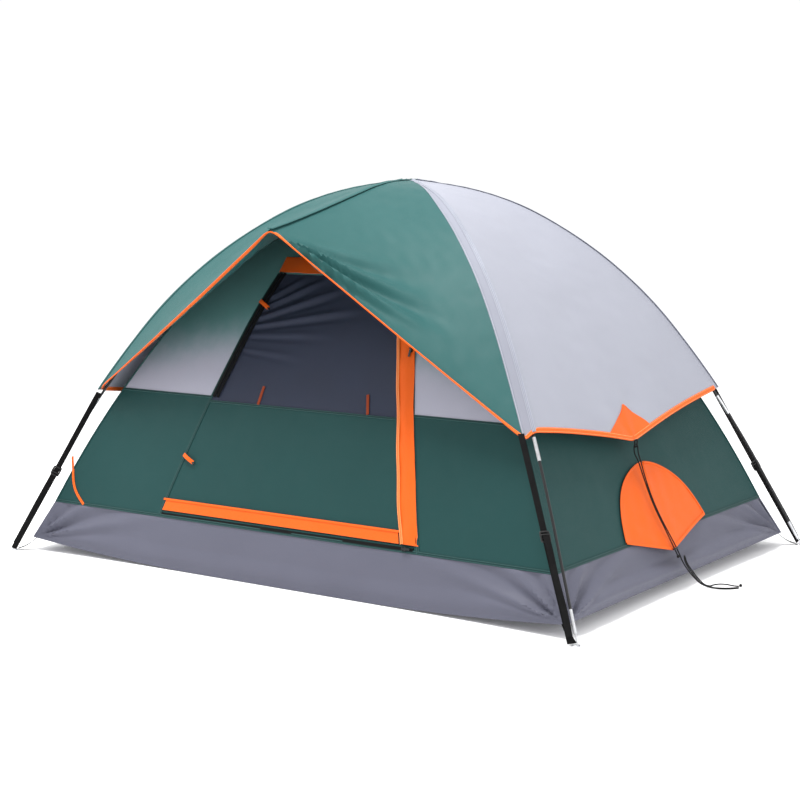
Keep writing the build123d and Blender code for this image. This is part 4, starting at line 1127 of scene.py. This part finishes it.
def panel_relief(grid, share, side, seed):
    """Sag between ridge and pole, and creases that fan from the awning's peak along its hem."""
    cols = grid.shape[1]
    t = np.abs(np.linspace(-1, 1, cols))[None, :]
    relief = -0.014 * np.sin(t * pi) * smooth(share[:, None], 0.1, 0.9)
    peak = grid[-1, cols // 2]
    for sign in (-1, 1):
        mask = np.sign(np.linspace(-1, 1, cols)) == sign
        corner = grid[-1, -12] if sign > 0 else grid[-1, 0]
        along = (corner - peak) / np.linalg.norm(corner - peak)
        inner = grid[-12, cols // 2 + sign * 30] - peak
        inner = inner - along * (inner @ along)
        inner /= np.linalg.norm(inner)
        away = grid - peak
        a, b = away @ along, away @ inner
        angle = np.degrees(np.arctan2(b, np.maximum(a, 1e-4)))
        strength = 0.0175 if sign == side else 0.006
        creases = np.zeros(a.shape)
        for middle, width, tall, near, far in ((4.5, 2.0, -.7, .16, .46), (9.0, 2.2, 1.0, .14, .56),
                                               (14.0, 2.5, -.9, .16, .54), (19.5, 2.7, .8, .18, .48),
                                               (26.0, 3.4, -.5, .20, .42), (33.0, 4.0, .35, .22, .38)):
            creases += tall * np.exp(-((angle - middle) / width) ** 2) * smooth(a, 0.0, near) \
                * (1 - smooth(a, far * 0.55, far * 1.25))
        relief = relief + strength * creases * mask[None, :]
    fade = np.sin(np.clip(t, 0, 1) * pi) ** 0.5
    relief = relief + 0.0022 * ripple(grid, 0.30, seed) * fade
    relief = relief + 0.0008 * ripple(grid, 0.07, seed + 1) * fade
    return relief * (1 - smooth(t, 0.985, 1.0)) * (1 - 0.75 * smooth(share[:, None], 0.985, 1.0))


def half_turn(points):
    return points * np.array((-1.0, -1.0, 1.0))


def make_fly_ends():
    """Front and back panels; the back one is the front one turned half round the crown."""
    share = np.linspace(0.0, 1.0, 110)
    left, _ = front_half(-1, False, share, 66)
    right, on_tape = front_half(1, True, share, 66)
    grid = np.concatenate((left[:, ::-1], right[:, 1:]), axis=1)
    relief = panel_relief(grid, share, 1, 81)
    outer = grid + normals_of(grid) * relief[..., None]
    split = grid.shape[1] - on_tape
    hems = {}
    for end, turn, nodes in (("front", lambda p: p, ("fly_front_left_panel", "fly_front_right_panel")),
                             ("back", half_turn, ("fly_back_left_panel", "fly_back_right_panel"))):
        placed = turn(outer)
        if end == "back":
            placed = placed + normals_of(placed) * (0.0012 * ripple(placed, 0.2, 91))[..., None] \
                * np.sin(np.linspace(0, pi, placed.shape[1]))[None, :, None]
        green = cloth(f"fly_{end}_green", placed[:, :split], M["fly_green"])
        settle(green, "rain_fly", "fly_green", *nodes)
        tape = cloth(f"fly_{end}_tape", placed[:, split - 1:], M["tape_grey"])
        settle(tape, "rain_fly", "fly_grey")
        normal = normals_of(placed)
        edge = placed[2:, split - 1]
        up = normal[2:, split - 1]
        strip(f"fly_{end}_tape_seam", edge + up * 0.0008, up, 0.0034, 0.0016, "tape_seam", "rain_fly",
              "fly_grey")
        middle = placed.shape[1] // 2
        ridge = placed[1:, middle]
        sleeve = sweep(f"fly_{end}_ridge_sleeve", ridge + normal[1:, middle] * 0.0005, normal[1:, middle],
                       crowned_profile(0.0105, 0.0010, 0.0018), M["ridge_sleeve"])
        settle(sleeve, "rain_fly", "fly_green")
        for side_name, col in (("left", 0), ("right", -1)):
            line, up = placed[2:, col], normal[2:, col]
            pale = col == -1 or end == "back"
            strip(f"fly_{end}_{side_name}_pole_seam", line + up * 0.0010, up, 0.0060, 0.0018,
                  "tape_seam" if pale else "seam_fly", "rain_fly", "fly_grey" if pale else "fly_green")
        hems[end] = (placed[-1], normal[-1], placed[-4])
    return hems


def hem_height(y):
    corner_y = float(pole_curve(FLY_CORNER_DISTANCE, FLY_SKIN)[0]) * CY
    end = np.where(np.asarray(y) > FLY_V_Y, corner_y, -corner_y)
    share = np.clip((y - FLY_V_Y) / (end - FLY_V_Y), 0, 1)
    return FLY_V + (FLY_CORNER - FLY_V) * share + 0.009 * np.sin(share * pi)


def side_point(height, y, side, lift=0.0):
    """Points and normals of a side panel at heights and distances front to back."""
    s, z, slope = pole_curve(distance_at_height(height, FLY_SKIN), FLY_SKIN)
    normal = np.stack((np.sin(slope) * side, 0 * slope, CX * np.cos(slope)), -1)
    normal /= np.linalg.norm(normal, axis=-1, keepdims=True)
    distance = distance_at_height(height, FLY_SKIN)
    z = z + (CROWN_TOP - POLE_LINE_TOP) * np.exp(-(distance / 0.09) ** 2)
    base = np.stack((side * s * CX, y + 0 * s, z), -1)
    reach = np.clip(np.abs(y) / np.maximum(s * CY, 1e-6), 0, 1)
    sag = -0.010 * np.cos(reach * pi / 2) * smooth(distance, 0.1, 0.7)
    from_v = y - FLY_V_Y
    near_v = np.exp(-((from_v / 0.26) ** 2 + ((height - 0.56) / 0.10) ** 2))
    pull = 0.0016 * near_v * np.sin(np.arctan2(from_v, height - 0.45) * 6.0 + 0.8)
    rough = (0.0020 * ripple(base, 0.30, 101) + 0.0008 * ripple(base, 0.08, 102)) * np.cos(reach * pi / 2)
    return base + normal * (lift + sag + pull + rough)[..., None], normal


def make_tie_out_patch(name, side):
    """Patch over the lowest point of a side hem, wide at the hem and narrow at its rounded top."""
    t = np.linspace(-1, 1, 40)[None, :]
    f = np.linspace(0, 1, 26)[:, None]
    middle = FLY_V_Y * (1 - f) + (FLY_V_Y + PATCH_LEAN) * f
    half = PATCH_TIP + (PATCH_HALF - PATCH_TIP) * (1 - f ** 1.45)
    y = middle + half * t
    height = (hem_height(y) + 0.002) * (1 - f) + (PATCH_TOP - 0.014 * t ** 2) * f
    patch = side_point(height, y, side, 0.0016)[0]
    obj = cloth(f"fly_{name}_tie_out_patch", patch, M["orange"], thickness=0.001)
    nodes = ("fly_tie_out_patches",) if side > 0 else ()
    settle(obj, "rain_fly", "orange_trim", *nodes)


def make_fly_sides():
    """Grey side panels from the crown down to hems that dip to a point; gives back their hems."""
    hems = {}
    for name, side in (("right", 1), ("left", -1)):
        corner_s = float(pole_curve(FLY_CORNER_DISTANCE, FLY_SKIN)[0])
        low_u = FLY_V_Y / (corner_s * CY)
        u = np.concatenate((np.linspace(-1, low_u, 46), np.linspace(low_u, 1, 56)[1:]))[None, :]
        v = np.linspace(0, 1, 110)[:, None]
        foot = hem_height(u * corner_s * CY)
        distance = v * distance_at_height(foot, FLY_SKIN)
        s, height, _ = pole_curve(distance, FLY_SKIN)
        grid = side_point(height, u * s * CY, side)[0]
        grid[0] = (0.0, 0.0, CROWN_TOP)
        obj = cloth(f"fly_{name}_grey", grid, M["fly_grey"])
        settle(obj, "rain_fly", "fly_grey", f"fly_side_{name}")
        hems[name] = (grid[-1], normals_of(grid)[-1], grid[-4])
        make_tie_out_patch(name, side)
    return hems


def make_hem(ends, sides):
    """Orange binding folded over the fly's whole lower edge, one closed loop."""
    order = (ends["front"], sides["right"], ends["back"], sides["left"])
    lines, ups, ins, widths = [], [], [], []
    for index, (edge, normal, inner) in enumerate(order):
        inward = inner - edge
        inward -= normal * np.sum(inward * normal, axis=1, keepdims=True)
        inward /= np.maximum(np.linalg.norm(inward, axis=1, keepdims=True), 1e-9)
        if index == 3:
            edge, normal, inward = edge[::-1], normal[::-1], inward[::-1]
        step = slice(1, -1)
        lines.append(edge[step])
        ups.append(normal[step])
        ins.append(inward[step])
        widths.append(np.full(len(edge) - 2, HEM_WIDE if index % 2 else HEM_NARROW))
    line, up, inward = np.concatenate(lines), np.concatenate(ups), np.concatenate(ins)
    width = np.concatenate(widths)
    for _ in range(8):
        up = (np.roll(up, 1, 0) + 2 * up + np.roll(up, -1, 0)) / 4
        inward = (np.roll(inward, 1, 0) + 2 * inward + np.roll(inward, -1, 0)) / 4
        width = (np.roll(width, 1) + 2 * width + np.roll(width, -1)) / 4
    for _ in range(3):
        line = (np.roll(line, 1, 0) + 2 * line + np.roll(line, -1, 0)) / 4
    line = line + width[:, None] * inward * 0.0055 / np.linalg.norm(inward, axis=1, keepdims=True)
    obj = sweep("fly_hem_binding", line, up, strip_profile(0.0092, 0.0042), M["binding"], closed=True,
                width=width)
    settle(obj, "rain_fly", "orange_trim")


# ---------------------------------------------------------------- straps and webbing
def make_ladder_lock(name, middle, across, ahead, up):
    """Strap adjuster: a rounded frame with two bars that the webbing wraps."""
    half_width, half_length, corner = 0.0135, 0.0150, 0.004
    turn = np.linspace(0, tau, 48, endpoint=False) + tau / 96
    x = np.clip(np.cos(turn) * 1.6, -1, 1) * (half_width - corner) + corner * np.cos(turn)
    z = np.clip(np.sin(turn) * 1.6, -1, 1) * (half_length - corner) + corner * np.sin(turn)
    line = middle + x[:, None] * across + z[:, None] * ahead
    rim = sweep(f"{name}_ladder_lock", line, up + 0 * line, round_profile(0.0027), M["plastic"], closed=True)
    settle(rim, f"adjuster_{name}", "black_plastic", f"strap_adjuster_{name}")
    for index, (place, proud, radius) in enumerate(((-0.0055, 0.0022, 0.0021), (0.0055, -0.0006, 0.0024))):
        t = np.linspace(-1, 1, 14)[:, None]
        line = middle + t * (half_width + 0.0004) * across + ahead * place + up * proud * (1 - t ** 6)
        bar = sweep(f"{name}_ladder_bar_{index + 1}", line, up + 0 * line, round_profile(radius),
                    M["plastic"])
        settle(bar, f"adjuster_{name}", "black_plastic")


def make_strap(name, top, run, up, aside):
    """Webbing from the fly's corner to the foot, and its end that comes back out of the lock."""
    t = np.linspace(0, 1, 60)[:, None]
    line = top + run * t + up * (0.0006 * np.sin(t * 9.0))
    nodes = ("fly_corner_straps",) if name == "front_left" else ()
    strip(f"{name}_strap_webbing", line, up, STRAP_WIDTH / 2, 0.0016, "webbing", "rain_fly",
          "webbing_black", *nodes)
    t = np.linspace(0.497, 0.97, 44)[:, None]
    gap = 0.0053 + 0.0027 * np.sin((t - t[0]) / (t[-1] - t[0]) * pi)
    line = top + run * t + up * gap + aside * 0.0012 * np.sin(t * 20)
    strip(f"{name}_strap_return", line, up, STRAP_WIDTH / 2, 0.0015, "webbing", "rain_fly",
          "webbing_black")


def make_corner_webbing(name, out, ring_s):
    """Webbing from the floor's lifted corner to the ring at its foot."""
    corner = out * FLOOR_CORNER + np.array((0, 0, FLOOR_CORNER_Z))
    ring = out * (ring_s - RING_R - 0.003) + np.array((0, 0, 0.0055))
    t = np.linspace(0, 1, 24)[:, None]
    line = (corner - out * 0.012) * (1 - t) + ring * t - np.array((0, 0, 0.006)) * np.sin(t * pi)
    rise = np.cross(ring - corner, np.array((out[1], -out[0], 0)))
    rise /= np.linalg.norm(rise)
    rise = rise * np.sign(rise[2])
    nodes = ("corner_webbing",) if name == "front_left" else ()
    strip(f"{name}_corner_webbing", line, rise, 0.009, 0.0018, "webbing", "tent", "webbing_black",
          *nodes)


def make_straps():
    corner_s = float(pole_curve(FLY_CORNER_DISTANCE, FLY_SKIN)[0])
    ring_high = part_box("foot_rings")[1]
    ring_s = hypot(ring_high.x - RING_R - RING_WIRE_R, ring_high.y - RING_R - RING_WIRE_R)
    for name, (sx, sy) in CORNERS.items():
        out = np.array((sx * CX, sy * CY, 0))
        aside = np.array((sy * CY, -sx * CX, 0)) * (-sx * sy)
        top = out * (corner_s - 0.008) + np.array((0, 0, FLY_CORNER - 0.006)) + aside * 0.038
        foot = out * ring_s + np.array((0, 0, 2 * RING_WIRE_R + 0.005)) + aside * 0.017
        run = foot - top
        ahead = run / np.linalg.norm(run)
        twist = radians(STRAP_TWIST[name])
        across = aside * cos(twist) + np.cross(ahead, aside) * sin(twist)
        up = np.cross(ahead, across)
        up = up * (1 if up @ out > 0 else -1)
        make_ladder_lock(name, top + run * LOCK_SHARE, across, ahead, up)
        make_strap(name, top, run, up, aside)
        make_corner_webbing(name, out, ring_s)


# ---------------------------------------------------------------- studio
def area_light(name, place, aim, size, power):
    data = bpy.data.lights.new(name, "AREA")
    data.shape = "RECTANGLE"
    data.size, data.size_y = size
    data.energy = power
    lamp = bpy.data.objects.new(name, data)
    lamp.location = place
    lamp.rotation_euler = (Vector(aim) - Vector(place)).to_track_quat("-Z", "Y").to_euler()
    bpy.context.scene.collection.objects.link(lamp)


def make_studio():
    n = Nodes("studio_floor")
    grain = n.noise(n.place(), 3.0)
    tone = n.mix(grain, (0.94, 0.94, 0.95), (0.96, 0.96, 0.965))
    floor_material = n.finish(tone, n.spread(grain, 0.85, 0.95), n.bump(grain, 0.0002, 0.1),
                              Emission_Color=(1.0, 1.0, 1.0, 1.0), Emission_Strength=0.07,
                              Specular_IOR_Level=0.0)
    half = STAGE_HALF
    mesh = bpy.data.meshes.new("floor")
    mesh.from_pydata([(-half, -half, 0), (half, -half, 0), (half, half, 0), (-half, half, 0)], [],
                     [(0, 1, 2, 3)])
    mesh.materials.append(floor_material)
    floor = bpy.data.objects.new("floor", mesh)
    bpy.context.scene.collection.objects.link(floor)
    world = bpy.data.worlds.new("studio")
    world.use_nodes = True
    background = world.node_tree.nodes["Background"]
    background.inputs["Color"].default_value = (1.0, 1.0, 1.0, 1.0)
    background.inputs["Strength"].default_value = WORLD_STRENGTH
    bpy.context.scene.world = world
    for name, (place, aim, size, power) in LAMPS.items():
        area_light(name, place, aim, size, power)
    bpy.context.scene.view_settings.view_transform = "Standard"


make_walls()
make_back_upper()
make_tub()
make_floor_sheet()
make_level_seams()
make_corner_piping()
make_left_corner_piping()
make_door()
make_vent_hood()
make_hem(make_fly_ends(), make_fly_sides())
make_straps()
make_studio()
